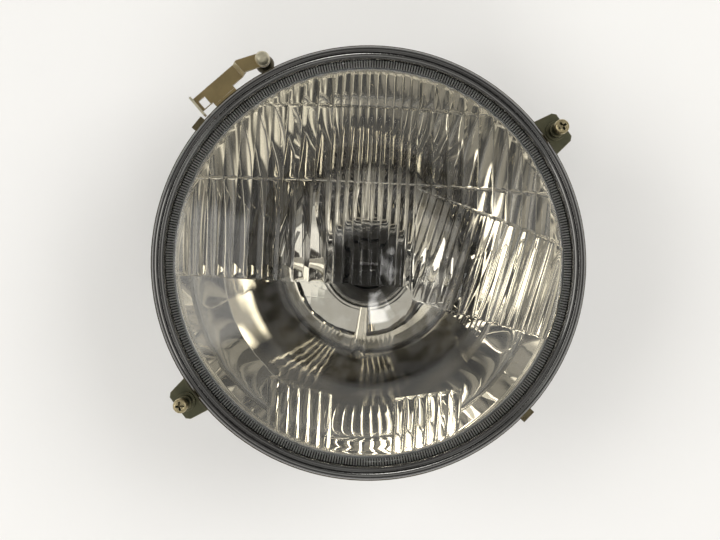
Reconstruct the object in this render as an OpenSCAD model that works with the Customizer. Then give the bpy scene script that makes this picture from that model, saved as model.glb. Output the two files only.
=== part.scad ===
// Round car headlight with a fluted glass lens, lying on its back with the lens up.
// Millimetres. The origin is on the optical axis, in the plane of the foot rim at the back.
// +Z runs out of the lens, +X to the right and +Y to the top of the lens seen from the front.

/* [Reflector] */
// Focal length of the parabolic reflector
focal_length = 27; // [25:0.5:29]
// Width of the reflector's flat rim
rim_w = 8.5; // [7.5:0.5:10]
// Thickness of the reflector's steel
reflector_t = 1; // [0.8:0.1:1.2]
// Radius of the hole for the bulb
bulb_hole_r = 20.5; // [20:0.1:21]
// Length of the neck behind the bulb hole
neck_len = 5; // [4:0.5:7]

/* [Trim ring] */
// Outer radius of the chrome ring
trim_r = 89; // [87.5:0.5:91]
// Outer radius of the rolled bead's section
bead_r = 2.9; // [2.6:0.1:3.1]
// Thickness of the ring's sheet
trim_t = 0.7; // [0.5:0.1:0.9]
// Height from the carrier ring to the centre of the bead
skirt_h = 6.2; // [6:0.1:7.5]
// How far the foot of the skirt turns outwards
skirt_flare = 0.6; // [0.4:0.1:1]
// Width of each spring clip that holds the ring
clip_w = 6; // [4:0.5:6.5]
// Thickness of the spring clips
clip_t = 0.7; // [0.5:0.1:0.9]
// Length of the spring clips' rear jaw
clip_jaw = 6; // [4:0.5:7]
// Room between the carrier ring's edge and the back of a clip
clip_room = 1; // [0.7:0.1:1.4]
// Angle of the upper left clip
clip_angle = 143.5; // [143:0.5:147]
// Angle from the upper left clip round to the lower right clip
clip_turn_angle = 175.5; // [172:0.5:180]

/* [Lens] */
// Radius of the outside of the lens dome
dome_r = 190; // [180:1:210]
// Thickness of the glass
glass_t = 4; // [3.5:0.1:4.5]
// How far the lens ribs stand in from the inner face
rib_h = 0.6; // [0.4:0.1:0.8]
// Distance from the ribbed field to the reflector's mouth
field_margin = 0.5; // [0.5:0.5:2]
// Pitch of the wide ribs
wide_pitch = 6.2; // [5.6:0.1:6.8]
// Number of wide ribs on each side
wide_count = 10; // [8:1:11]
// Pitch of the narrow ribs at the centre
narrow_pitch = 3.42; // [3.2:0.02:3.6]
// Number of narrow ribs at the centre
narrow_count = 10; // [8:2:12]
// Clear width between two ribs
rib_gap = 1.1; // [0.8:0.1:1.4]
// Height of the line across the upper lens
upper_line_y = 31.5; // [28:0.5:34]
// Height of the line across the top of the lens
top_line_y = 62.5; // [58:0.5:66]
// Height of the line under the left and centre ribs
lower_line_y = -8.8; // [-12:0.2:-6]
// Slope of the slanted field on the right
wedge_angle = 15; // [12:1:18]
// Height of the slanted field
wedge_h = 40; // [36:0.5:44]
// Height of the corner of the slanted field
wedge_y = 29; // [26:0.5:30]
// Pitch of the ribs in the two lower fields
low_pitch = 4.3; // [4:0.1:4.6]
// Number of ribs in each lower field
low_count = 6; // [4:1:7]
// Distance from the middle of the lens to each lower field
low_x = 12.5; // [10:0.5:15]
// Height of the top of the lower fields
low_top_y = -50; // [-54:0.5:-46]
// Length of the ribs in the lower fields
low_len = 24; // [20:0.5:26]

/* [Seal] */
// Thickness of the seal under the lens
seal_t = 1.3; // [1:0.1:1.8]
// Thickness of the seal around the lens
seal_wall = 1.9; // [1.5:0.1:2.2]
// Height of the seal's wall above its floor
seal_wall_h = 1.7; // [1:0.1:2]

/* [Carrier ring] */
// Thickness of the carrier ring
carrier_t = 1; // [0.8:0.1:1.4]
// How far the carrier ring reaches past the chrome ring
carrier_edge = 2; // [1.5:0.5:3]
// Depth of the carrier ring's inner lip
carrier_lip = 4; // [2:0.5:6]
// Width of the carrier ring's inner lip
carrier_lip_t = 1; // [0.8:0.1:1.2]
// Radius of the rivets' shanks
rivet_r = 1.4; // [1.1:0.1:1.7]
// Radius of the rivets' heads
rivet_head_r = 2.5; // [2.2:0.1:2.8]
// Height of the rivets' heads
rivet_head_h = 1; // [0.6:0.1:1.3]
// Radius of the flat end of the rivets' heads
rivet_end_r = 1.7; // [1.4:0.1:2]

/* [Adjusting screws] */
// Distance from the carrier ring's edge to each adjusting screw
screw_out = 6; // [5:0.5:7.5]
// Angle of the upper right adjusting screw
right_angle = 38; // [32:1:44]
// Angle of the lower left adjusting screw
left_angle = 220; // [214:1:226]
// Radius of the screws' thread
screw_r = 2; // [1.8:0.1:2.2]
// Length of the screws under the head
screw_len = 44; // [42:1:48]
// Radius of the screws' heads
head_r = 3.05; // [2.8:0.05:3.4]
// Height of the screws' heads
head_h = 3.2; // [2.6:0.1:3.6]
// Length of each slot of the cross recess
recess_len = 3.7; // [3:0.1:4]
// Width of each slot of the cross recess
recess_w = 0.9; // [0.7:0.1:1.1]
// Depth of the cross recess
recess_depth = 1.8; // [1.4:0.1:2.2]
// Height of the screws' heads above the face of the lug
head_stand = 11; // [10:0.5:13]
// Width of the nylon nuts across their flats
nut_w = 10; // [9:0.5:11]
// Height of the nylon nuts
nut_h = 9; // [7:0.5:10]
// Width of the nuts' flanges
nut_flange_w = 13; // [12:0.5:14]
// Thickness of the nuts' flanges
nut_flange_t = 1.5; // [1:0.1:2]
// Distance from the lug down to the nut's flange
nut_drop = 14; // [12:0.5:17]

/* [Lugs] */
// Thickness of the lugs' steel
lug_t = 1.2; // [1:0.1:1.5]
// How far the lugs' faces lie behind the carrier ring
lug_drop = 6; // [5:0.5:8]
// Width of the lugs at their outer ends
lug_tip_w = 14.2; // [13:0.2:16]
// Width of the lugs at the carrier ring
lug_root_w = 18; // [17:0.5:20]
// How far the lugs reach past the screws
lug_past = 4.5; // [4:0.1:5]
// Size of the cut on the lugs' outer corners
lug_corner = 1.5; // [1:0.1:2.5]
// Length of the lugs' feet on the carrier ring
foot_len = 6.5; // [6:0.1:7.5]
// Spacing of the two rivets in each foot
foot_rivet_pitch = 10; // [8:0.5:11]
// Outer radius of the bushes in the lugs
bush_r = 3; // [2.7:0.1:3.3]
// Radius of the bushes' collars
bush_collar_r = 4.2; // [3.8:0.1:4.6]
// Thickness of the bushes' collars
bush_collar_t = 1; // [0.8:0.1:1.3]
// Height of the bushes' noses above the lugs
bush_nose = 4; // [3:0.5:5]
// Outer radius of the rings that keep the screws in the lugs
stop_r = 4; // [3.6:0.1:4.4]
// Thickness of the rings that keep the screws in the lugs
stop_t = 0.8; // [0.6:0.1:1]

/* [Pivot bracket] */
// Angle of the pivot bracket
pivot_angle = 133.5; // [131:0.5:135]
// Thickness of the pivot bracket
strip_t = 1; // [0.8:0.1:1.3]
// Distance from the carrier ring's edge to the middle of the strip
strip_out = 6.2; // [5.6:0.2:7]
// Width of the strip
strip_w = 6.6; // [6:0.2:7.2]
// Length of the strip to the left of the bracket's middle
strip_left = 12; // [11:0.5:14]
// Length of the strip to the right of the bracket's middle
strip_right = 11; // [10:0.5:12]
// How far the strip lies behind the carrier ring
strip_drop = 2; // [1.5:0.5:3]
// How far the tongue stands in front of the strip
tongue_rise = 3; // [2:0.5:4]
// Length of the bend between the strip and the tongue
bend_len = 2.4; // [2:0.2:3]
// Height of the flange at the left end of the strip
end_flange_h = 5.4; // [4:0.2:7]
// Width of the flange at the left end of the strip
end_flange_w = 9.4; // [8:0.2:10.4]
// Length of the slot near the flange
slot_len = 4; // [3:0.2:4.4]
// Width of the slot near the flange
slot_w = 3.2; // [2.6:0.2:3.6]
// Distance from the flange to the slot
slot_from_flange = 1.2; // [0.8:0.1:1.6]
// How far the flange and the slot stand towards the lens from the strip's middle
slot_shift = 1; // [0.5:0.1:1.2]
// Width of the tab that joins the strip to its foot
tab_w = 11; // [9:0.5:13]
// Distance from the bracket's middle to the pivot stud
stud_u = 22; // [21:0.5:24]
// How far the pivot stud lies in from the middle of the strip
stud_in = 3.8; // [2.4:0.2:4.2]
// Radius of the pivot stud's front head
stud_head_r = 3.1; // [2.8:0.1:3.4]
// Radius of the pivot stud's shank
stud_r = 2; // [1.7:0.1:2.2]
// Radius of the pivot stud's collar behind the tongue
stud_collar_r = 3; // [2.8:0.1:3.3]
// Height of the pivot stud's collar
stud_collar_h = 1.5; // [1:0.1:2]
// How far the centre of the pivot stud's front head stands above the tongue
stud_dome = 1.2; // [0.8:0.1:1.6]
// Radius of the pivot ball
ball_r = 4; // [3.5:0.1:4.5]
// Distance from the tongue to the centre of the pivot ball
ball_drop = 9; // [8:0.5:11]

/* [Bulb seat] */
// Inner radius of the seat's wall
seat_in_r = 29; // [28.5:0.1:30]
// Thickness of the seat's sheet
seat_t = 1.2; // [1:0.1:1.5]
// Depth of the seat's wall
seat_depth = 7; // [6.5:0.5:9]
// How far the three hooks reach inwards
hook_in = 1.7; // [1.3:0.1:1.9]
// Thickness of the three hooks
hook_t = 1; // [0.8:0.1:1.3]
// Angle that each hook covers
hook_angle = 26; // [20:1:28]
// Width of the earth tab
earth_w = 6.3; // [5.5:0.1:7]
// Thickness of the earth tab
earth_t = 0.8; // [0.6:0.1:1]
// How far the earth tab reaches past the seat
earth_out = 11; // [9:0.5:13]
// Distance from the reflector's neck to the earth tab's inner end
earth_in = 1.5; // [1:0.1:3]
// Size of the cut on the earth tab's outer corners
earth_corner = 1.5; // [1:0.1:2]
// Radius of the locking hole in the earth tab
earth_hole_r = 0.8; // [0.6:0.1:1]
// Distance from the earth tab's end to its locking hole
earth_hole_in = 4; // [3.5:0.1:5]

/* [Bulb] */
// How far the bulb's flange laps over the edge of the bulb hole
flange_lap = 2; // [1.5:0.1:2.5]
// Thickness of the bulb's flange
flange_t = 1; // [0.8:0.1:1.2]
// Width of the three notches in the bulb's flange
notch_w = 4; // [3:0.2:5]
// Depth of the three notches in the bulb's flange
notch_depth = 1.2; // [0.8:0.1:1.4]
// Radius of the metal cap
cap_r = 15.5; // [15:0.1:16]
// Length of the metal cap
cap_len = 11; // [10:0.5:13]
// Thickness of the metal cap
cap_t = 0.8; // [0.6:0.1:1]
// Thickness of the insulator behind the cap
insulator_t = 3.6; // [3:0.1:4.5]
// Radius of the three contact pads
pad_r = 2.4; // [2:0.1:2.6]
// Thickness of the contact pads
pad_t = 0.8; // [0.6:0.1:1]
// Distance from the middle of the cap to the contact pads
pad_at_r = 8.5; // [8:0.1:9.5]
// Gap between the round part of the glass and the edge of the bulb hole
globe_room = 1.5; // [1:0.1:2.5]
// Distance from the flange to the centre of the round glass
globe_at = 24; // [22:0.5:26]
// Radius of the neck of the glass
globe_neck_r = 12; // [11.6:0.1:12.2]
// Thickness of the bulb's glass
globe_t = 0.8; // [0.6:0.1:1]
// How deep the neck goes into the cap
neck_in = 7; // [6:0.5:8]
// Thickness of the stem's base
stem_base_t = 1.5; // [1:0.1:2]
// Radius of the foot of the inner glass stem
stem_foot_r = 9.6; // [9:0.1:10.4]
// Radius of the top of the inner glass stem
stem_top_r = 6.6; // [6.4:0.1:7]
// Height of the stem
stem_h = 20; // [18:0.5:21]
// Radius of the supporting wires
lead_r = 0.45; // [0.35:0.05:0.6]
// Radius of the wire across the top of the dipped filament
cross_r = 0.4; // [0.3:0.05:0.5]
// Distance from the axis to the main filament's wires
lead_x = 3.4; // [3:0.1:4]
// Distance from the axis to the dipped filament's wires
lead_y = 5; // [4.6:0.1:5.2]
// Radius of the filaments
filament_r = 0.7; // [0.5:0.05:0.8]
// Length of the dipped filament
dip_len = 5.5; // [5:0.1:6]
// Distance from the main filament to the dipped filament
dip_ahead = 3; // [2.5:0.1:4]
// Radius of the shield under the dipped filament
shield_r = 3.8; // [3.4:0.1:4]
// Thickness of the shield
shield_t = 0.3; // [0.2:0.05:0.4]
// Length of the shield
shield_len = 8.5; // [8:0.1:9]
// How far the slanted edge of the shield lies below the filament
shield_low = 0.5; // [0.3:0.1:0.8]

/* [Bulb holder] */
// How far the holder's grip lies inside the seat's inner wall
grip_in = 1; // [0:0.1:1.5]
// Gap between the seat's hooks and the holder's nose
nose_gap = 0.8; // [0.5:0.1:1.2]
// Gap between the bulb's cap and the holder's inner wall
cap_room = 2; // [1.5:0.1:3]
// Height of the rim that the headlight stands on
foot_h = 3; // [2.6:0.1:4]
// Width of the rim that the headlight stands on
foot_w = 4.5; // [3.5:0.1:6]
// Thickness of the holder's floor
floor_t = 2; // [1.6:0.1:3]
// Height of the space for the spring contacts
contact_space = 2.6; // [2.4:0.1:3.5]
// Number of scallops round the grip
scallops = 18; // [12:1:24]
// Radius of each scallop
scallop_r = 2.2; // [1.8:0.1:2.6]
// Depth of each scallop
scallop_depth = 0.9; // [0.6:0.1:1.2]
// Width of the cable notch in the foot rim
cable_notch_w = 10; // [8:0.5:12]
// Height of the holder's three locking lugs
lock_h = 2.6; // [2:0.1:3]
// Angle that each locking lug covers
lock_angle = 22; // [18:1:26]
// Radius of the terminal screws' heads
terminal_r = 2.8; // [2.4:0.1:3.2]
// Height of the terminal screws' heads
terminal_h = 2.2; // [1.8:0.1:2.4]
// Radius of the terminal screws' shanks
terminal_shank_r = 1.5; // [1.2:0.1:1.7]
// Distance from the holder's inner wall to the terminal screws
terminal_in = 3.5; // [3.1:0.1:3.9]
// Width of the terminal screws' slots
terminal_slot_w = 0.8; // [0.6:0.1:1]
// Depth of the terminal screws' slots
terminal_slot_depth = 1.1; // [0.8:0.1:1.3]
// Width of the spring contacts
contact_w = 5; // [4:0.2:5.6]
// Thickness of the spring contacts
contact_t = 0.5; // [0.3:0.1:0.6]
// Length of the spring contacts' flat feet past the terminal screws
contact_foot = 2; // [1.8:0.1:2.4]
// Half the length of the spring contacts' flat tips
contact_tip = 0.8; // [0.6:0.1:1]
// How far the spring contacts' ends turn back down
contact_turn = 1; // [0.6:0.1:1.2]

/* [Clearances] */
// Gap between pieces that are seated in each other
seat_gap = 0.1; // [0.05:0.05:0.15]
// Gap between pieces that move past each other
move_gap = 0.3; // [0.25:0.05:0.4]
// Radial clearance of a screw in its bush and nut
run_gap = 0.06; // [0.03:0.01:0.09]

/* [Hidden] */
$fn = 96;

// Surplus that lets a cut pass right through a face
past = 1;
// Steps of the curved line in the reflector's section
curve_steps = 22;
// Steps of the half circle in the chrome ring's section
bead_steps = 20;
// Angles of the rivets that hold the reflector to the carrier ring
carrier_rivet_angles = [5, 75, 105, 170, 255, 290];

// Radii that follow from the chrome ring
seal_out_r = trim_r - trim_t - move_gap;
lens_out_r = seal_out_r - seal_wall - seat_gap;
lip_r = trim_r - 2 * bead_r;
mouth_r = seal_out_r - rim_w;
field_r = mouth_r - field_margin;
carrier_r = trim_r + carrier_edge;
carrier_in_r = mouth_r + reflector_t + move_gap;
foot_in_r = carrier_in_r + carrier_lip_t + move_gap;
rivet_ring_r = foot_in_r + rivet_head_r;

// Radii that follow from the bulb hole, the seat and the cap
flange_r = bulb_hole_r + flange_lap;
globe_r = bulb_hole_r - globe_room;
holder_r = seat_in_r - grip_in;
nose_r = seat_in_r - hook_in - nose_gap;
holder_in_r = cap_r + cap_room;
terminal_at_r = holder_in_r - terminal_in;

// Heights, from the foot rim up
floor_top_z = foot_h + floor_t;
pads_z = floor_top_z + contact_space;
insulator_z = pads_z + pad_t;
cap_z = insulator_z + insulator_t;
flange_z = cap_z + cap_len;
neck_z = flange_z + flange_t;
vertex_z = neck_z + neck_len - parabola(bulb_hole_r);
focus_z = vertex_z + focal_length;
mouth_z = vertex_z + parabola(mouth_r);
carrier_front_z = mouth_z - reflector_t;
carrier_back_z = carrier_front_z - carrier_t;
lens_foot_z = mouth_z + seal_t;
bead_z = carrier_front_z + skirt_h;
dome_z = bead_z - move_gap - seat_gap - sqrt(pow(dome_r, 2) - pow(lip_r, 2));

// Lugs and adjusting screws
lug_face_z = carrier_back_z - lug_drop + lug_t;
lug_back_z = lug_face_z - lug_t;
web_r = foot_in_r + foot_len;
screw_at_r = carrier_r + screw_out;
lug_out_r = screw_at_r + lug_past;
head_z = lug_face_z + head_stand;
nut_top_z = lug_back_z - nut_drop;

// Pivot bracket
strip_z = carrier_back_z - strip_drop - strip_t;
tongue_z = strip_z + tongue_rise;
tongue_root_u = strip_right + bend_len;
strip_at_r = carrier_r + strip_out;
stud_v = strip_at_r - stud_in;
strip_in_v = strip_at_r - strip_w / 2;
strip_out_v = strip_at_r + strip_w / 2;
strip_web_v = carrier_r + move_gap;
strip_top_z = strip_z + strip_t;
tongue_top_z = tongue_z + strip_t;
bracket_foot_z = carrier_back_z - strip_t;

// Bulb seat and holder
seat_back_z = neck_z + seat_t - seat_depth;
hook_z = seat_back_z;
lock_z = hook_z + hook_t + move_gap;
lock_r = seat_in_r - move_gap;
nose_top_z = flange_z - move_gap;
grip_top_z = hook_z - move_gap;
globe_z = neck_z + globe_at;
globe_foot_z = flange_z - neck_in;
stem_base_z = globe_foot_z + stem_base_t;
stem_top_z = globe_foot_z + stem_h;
main_z = focus_z;
dip_z = main_z + dip_ahead;

// Height of the reflector's inner face over its vertex
function parabola(r) = pow(r, 2) / (4 * focal_length);

// Point of the reflector's outer face that lies square to radius r of the inner face
function behind(r) =
  let (slope = r / (2 * focal_length), length = sqrt(1 + pow(slope, 2)))
  [r + reflector_t * slope / length, vertex_z + parabola(r) - reflector_t / length];

// Point on a circle round [x, y]
function on_circle(x, y, r, a) = [x + r * cos(a), y + r * sin(a)];

module ring(r_out, r_in, h) {
  difference() {
    cylinder(r = r_out, h = h);
    translate([0, 0, -past]) cylinder(r = r_in, h = h + 2 * past);
  }
}

// Part of a flat ring, from angle a on both sides of +X
module ring_sector(r_out, r_in, h, span) {
  rotate([0, 0, -span / 2])
    rotate_extrude(angle = span)
      translate([r_in, 0]) square([r_out - r_in, h]);
}

// A box from one corner to the other
module box(low, high) {
  translate(low) cube(high - low);
}

// Places a piece that is drawn along +X at angle a round the optical axis
module at_angle(a) {
  rotate([0, 0, a]) children();
}

// Three copies, one third of a turn apart, the first at the top
module three_round() {
  for (a = [90, 210, 330]) at_angle(a) children();
}

// Rib of the lens, drawn as a tall box that the lens's inner face then trims
module rib_box(x, width, low_y, high_y) {
  translate([x + rib_gap / 2, low_y, lens_foot_z])
    cube([width - rib_gap, high_y - low_y, dome_r]);
}

// Ribs side by side from x on
module rib_row(x, pitch, count, low_y, high_y) {
  for (i = [0:count - 1]) rib_box(x + i * pitch, pitch, low_y, high_y);
}

// The fields of ribs: narrow ones in the middle, wide ones on both sides, a slanted field on the
// right and two short fields below
module rib_fields() {
  narrow_half = narrow_count * narrow_pitch / 2;
  wide_len = wide_count * wide_pitch;
  low_bottom_y = low_top_y - low_len;
  for (rows = [[upper_line_y, top_line_y], [top_line_y, field_r]]) {
    low = rows[0] + rib_gap / 2;
    high = rows[1] - rib_gap / 2;
    rib_row(-narrow_half, narrow_pitch, narrow_count, low, high);
    rib_row(-narrow_half - wide_len, wide_pitch, wide_count, low, high);
    rib_row(narrow_half, wide_pitch, wide_count, low, high);
  }
  middle_high = upper_line_y - rib_gap / 2;
  rib_row(-narrow_half, narrow_pitch, narrow_count, lower_line_y, middle_high);
  rib_row(-narrow_half - wide_len, wide_pitch, wide_count, lower_line_y, middle_high);
  for (i = [1:wide_count - 1]) {
    slant_y = wedge_y - i * wide_pitch * tan(wedge_angle) + rib_gap;
    rib_box(narrow_half + i * wide_pitch, wide_pitch, slant_y, middle_high);
  }
  translate([narrow_half, wedge_y, 0])
    rotate([0, 0, -wedge_angle])
      rib_row(wide_pitch / 2, wide_pitch, wide_count, -wedge_h, 0);
  rib_row(low_x, low_pitch, low_count, low_bottom_y, low_top_y);
  rib_row(-low_x - low_count * low_pitch, low_pitch, low_count, low_bottom_y, low_top_y);
}

module lens() {
  inner_r = dome_r - glass_t;
  color("lightcyan", 0.5) {
    difference() {
      intersection() {
        translate([0, 0, dome_z]) sphere(r = dome_r, $fn = 240);
        translate([0, 0, lens_foot_z]) cylinder(r = lens_out_r, h = dome_r);
      }
      translate([0, 0, dome_z]) sphere(r = inner_r, $fn = 240);
    }
    intersection() {
      difference() {
        translate([0, 0, dome_z]) sphere(r = inner_r + seat_gap, $fn = 240);
        translate([0, 0, dome_z]) sphere(r = inner_r - rib_h, $fn = 240);
      }
      translate([0, 0, lens_foot_z + past]) cylinder(r = field_r, h = dome_r);
      rib_fields();
    }
  }
}

module lens_seal() {
  color("dimgray") {
    translate([0, 0, mouth_z]) ring(seal_out_r, mouth_r + reflector_t, seal_t);
    translate([0, 0, mouth_z]) ring(seal_out_r, seal_out_r - seal_wall, seal_t + seal_wall_h);
  }
}

// Section of the chrome ring: half a round bead on a straight skirt with a turned-out foot
module trim_ring() {
  bead_x = trim_r - bead_r;
  turn = 180 / bead_steps;
  outside = [for (i = [0:bead_steps]) on_circle(bead_x, bead_z, bead_r, i * turn)];
  inside = [for (i = [bead_steps:-1:0]) on_circle(bead_x, bead_z, bead_r - trim_t, i * turn)];
  foot = [
    [trim_r - trim_t, carrier_front_z],
    [trim_r + skirt_flare, carrier_front_z],
    [trim_r + skirt_flare, carrier_front_z + trim_t],
    [trim_r, carrier_front_z + trim_t]
  ];
  color("silver")
    rotate_extrude($fn = 180)
      polygon(concat(outside, inside, foot));
}

module trim_clips() {
  low = carrier_back_z - seat_gap;
  high = carrier_front_z + trim_t + seat_gap;
  tip = trim_r + move_gap;
  back = carrier_r + clip_room;
  section = [
    [carrier_r - clip_jaw, low],
    [back, low],
    [back, high],
    [tip, high],
    [tip, high + clip_t],
    [back + clip_t, high + clip_t],
    [back + clip_t, low - clip_t],
    [carrier_r - clip_jaw, low - clip_t]
  ];
  color("goldenrod")
    for (a = [clip_angle, clip_angle + clip_turn_angle])
      at_angle(a)
        rotate([90, 0, 0])
          translate([0, 0, -clip_w / 2])
            linear_extrude(clip_w) polygon(section);
}

module reflector() {
  step = (mouth_r - bulb_hole_r) / curve_steps;
  inner = [for (i = [0:curve_steps]) let (r = bulb_hole_r + i * step) [r, vertex_z + parabola(r)]];
  outer = [for (i = [curve_steps - 1:-1:1]) behind(bulb_hole_r + i * step)];
  neck_out_r = bulb_hole_r + reflector_t;
  rim_corner = [behind(mouth_r)[0], carrier_front_z];
  neck_corner = [neck_out_r, behind(neck_out_r)[1]];
  color("gainsboro")
    difference() {
      rotate_extrude($fn = 180)
        polygon(concat(
          [[bulb_hole_r, neck_z]],
          inner,
          [[seal_out_r, mouth_z], [seal_out_r, carrier_front_z], rim_corner],
          outer,
          [neck_corner, [neck_out_r, neck_z]]
        ));
      carrier_rivet_places() rivet_hole(mouth_z);
    }
}

// Hole for a rivet, up to height top_z
module rivet_hole(top_z) {
  translate([0, 0, carrier_back_z - carrier_lip])
    cylinder(r = rivet_r + seat_gap, h = top_z - carrier_back_z + carrier_lip + past);
}

module carrier_rivet_places() {
  for (a = carrier_rivet_angles) at_angle(a) translate([rivet_ring_r, 0, 0]) children();
}

module lug_rivet_places() {
  for (a = [right_angle, left_angle], side = [-1, 1])
    at_angle(a) translate([rivet_ring_r, side * foot_rivet_pitch / 2, 0]) children();
}

module bracket_rivet_places() {
  for (side = [-1, 1])
    at_angle(pivot_angle) translate([rivet_ring_r, side * tab_w / 4, 0]) children();
}

// Rivet with its head behind back_z and its end flush with front_z
module rivet(back_z, front_z) {
  translate([0, 0, back_z]) cylinder(r = rivet_r, h = front_z - back_z);
  translate([0, 0, back_z - rivet_head_h])
    cylinder(r1 = rivet_end_r, r2 = rivet_head_r, h = rivet_head_h);
}

module carrier_ring() {
  color("darkkhaki")
    difference() {
      union() {
        translate([0, 0, carrier_back_z]) ring(carrier_r, carrier_in_r, carrier_t);
        translate([0, 0, carrier_back_z - carrier_lip])
          ring(carrier_in_r + carrier_lip_t, carrier_in_r, carrier_lip + carrier_t);
      }
      carrier_rivet_places() rivet_hole(carrier_front_z);
      lug_rivet_places() rivet_hole(carrier_front_z);
      bracket_rivet_places() rivet_hole(carrier_front_z);
    }
}

module carrier_rivets() {
  color("silver") carrier_rivet_places() rivet(carrier_back_z, mouth_z);
}

// Steel lug: a foot under the carrier ring, a web, and a face that carries the screw's bush
module lug(a) {
  foot_back_z = carrier_back_z - lug_t;
  root = lug_root_w / 2;
  tip = lug_tip_w / 2;
  face = [
    [web_r - lug_t, -root],
    [web_r, -root],
    [lug_out_r - lug_corner, -tip],
    [lug_out_r, -tip + lug_corner],
    [lug_out_r, tip - lug_corner],
    [lug_out_r - lug_corner, tip],
    [web_r, root],
    [web_r - lug_t, root]
  ];
  color("olivedrab")
    at_angle(a)
      difference() {
        union() {
          box([foot_in_r, -root, foot_back_z], [web_r, root, carrier_back_z]);
          box([web_r - lug_t, -root, lug_back_z], [web_r, root, carrier_back_z]);
          translate([0, 0, lug_back_z]) linear_extrude(lug_t) polygon(face);
        }
        translate([screw_at_r, 0, lug_back_z - past])
          cylinder(r = bush_r + seat_gap, h = lug_t + 2 * past);
        for (side = [-1, 1])
          translate([rivet_ring_r, side * foot_rivet_pitch / 2, foot_back_z - past])
            cylinder(r = rivet_r + seat_gap, h = lug_t + 2 * past);
      }
}

module lug_rivets() {
  color("silver") lug_rivet_places() rivet(carrier_back_z - lug_t, carrier_front_z);
}

// Bush that guides the screw through the lug
module bush(a) {
  color("khaki")
    at_angle(a)
      translate([screw_at_r, 0, 0])
        difference() {
          union() {
            translate([0, 0, lug_back_z]) cylinder(r = bush_r, h = lug_t + bush_nose);
            translate([0, 0, lug_face_z]) cylinder(r = bush_collar_r, h = bush_collar_t);
          }
          translate([0, 0, lug_back_z - past])
            cylinder(r = screw_r + run_gap, h = lug_t + bush_nose + 2 * past);
        }
}

module adjusting_screw(a) {
  color("khaki")
    at_angle(a)
      translate([screw_at_r, 0, 0])
        difference() {
          union() {
            translate([0, 0, head_z - screw_len]) cylinder(r = screw_r, h = screw_len + past);
            translate([0, 0, head_z]) cylinder(r = head_r, h = head_h);
          }
          for (turn = [0, 90])
            translate([0, 0, head_z + head_h - recess_depth])
              rotate([0, 0, turn])
                translate([-recess_len / 2, -recess_w / 2, 0])
                  cube([recess_len, recess_w, recess_depth + past]);
        }
}

// Ring pressed on the screw behind the lug
module stop_ring(a) {
  color("silver")
    at_angle(a)
      translate([screw_at_r, 0, lug_back_z - move_gap - stop_t])
        ring(stop_r, screw_r + run_gap, stop_t);
}

// Square nylon nut that snaps into the car's bowl
module adjuster_nut(a) {
  color("white")
    at_angle(a)
      translate([screw_at_r, 0, nut_top_z])
        difference() {
          union() {
            translate([-nut_w / 2, -nut_w / 2, -nut_h]) cube([nut_w, nut_w, nut_h]);
            translate([-nut_flange_w / 2, -nut_flange_w / 2, -nut_flange_t])
              cube([nut_flange_w, nut_flange_w, nut_flange_t]);
          }
          translate([0, 0, -nut_h - past]) cylinder(r = screw_r + run_gap, h = nut_h + 2 * past);
        }
}

// Line of the bracket's bend from the strip up to the tongue, seen along the bracket's middle
function bend_section() = [
  [-strip_right + strip_t, strip_z],
  [-strip_right + strip_t, strip_top_z],
  [-strip_right, strip_top_z],
  [-tongue_root_u + strip_t, tongue_top_z],
  [-tongue_root_u, tongue_top_z],
  [-tongue_root_u, tongue_z],
  [-strip_right, strip_z]
];

// Outline of the tongue, which narrows towards the stud
function tongue_outline() = [
  [strip_in_v, -tongue_root_u + seat_gap],
  [stud_v - stud_head_r * 0.6, -stud_u + stud_head_r * 0.8],
  [stud_v + stud_head_r * 0.8, -stud_u - stud_head_r * 0.6],
  [strip_out_v - seat_gap, -tongue_root_u + seat_gap]
];

// Bracket drawn along +X, with its length along -Y: a foot under the carrier ring, a strip with
// an upright end flange and a slot, a bend, and a tongue for the stud
module pivot_bracket() {
  half_tab = tab_w / 2;
  slot_mid_v = strip_at_r - slot_shift;
  slot_y = strip_left - strip_t - slot_from_flange - slot_w;
  color("darkkhaki")
    at_angle(pivot_angle)
      difference() {
        union() {
          box([foot_in_r, -half_tab, bracket_foot_z], [strip_web_v + strip_t, half_tab, carrier_back_z]);
          box([strip_web_v, -half_tab, strip_z], [strip_web_v + strip_t, half_tab, carrier_back_z]);
          box([strip_web_v, -half_tab, strip_z], [strip_in_v + strip_t, half_tab, strip_top_z]);
          box([strip_in_v, -strip_right, strip_z], [strip_out_v, strip_left, strip_top_z]);
          translate([slot_mid_v - end_flange_w / 2, strip_left - strip_t, strip_z])
            cube([end_flange_w, strip_t, end_flange_h]);
          translate([strip_in_v, 0, 0])
            rotate([90, 0, 90])
              linear_extrude(strip_w - seat_gap) polygon(bend_section());
          translate([0, 0, tongue_z]) linear_extrude(strip_t) polygon(tongue_outline());
          translate([stud_v, -stud_u, tongue_z]) cylinder(r = stud_head_r, h = strip_t);
        }
        translate([stud_v, -stud_u, tongue_z - past])
          cylinder(r = stud_r + seat_gap, h = strip_t + 2 * past);
        translate([slot_mid_v - slot_len / 2, slot_y, strip_z - past])
          cube([slot_len, slot_w, strip_t + 2 * past]);
        for (side = [-1, 1])
          translate([rivet_ring_r, side * tab_w / 4, bracket_foot_z - past])
            cylinder(r = rivet_r + seat_gap, h = strip_t + 2 * past);
      }
}

module bracket_rivets() {
  color("silver") bracket_rivet_places() rivet(bracket_foot_z, carrier_front_z);
}

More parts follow.
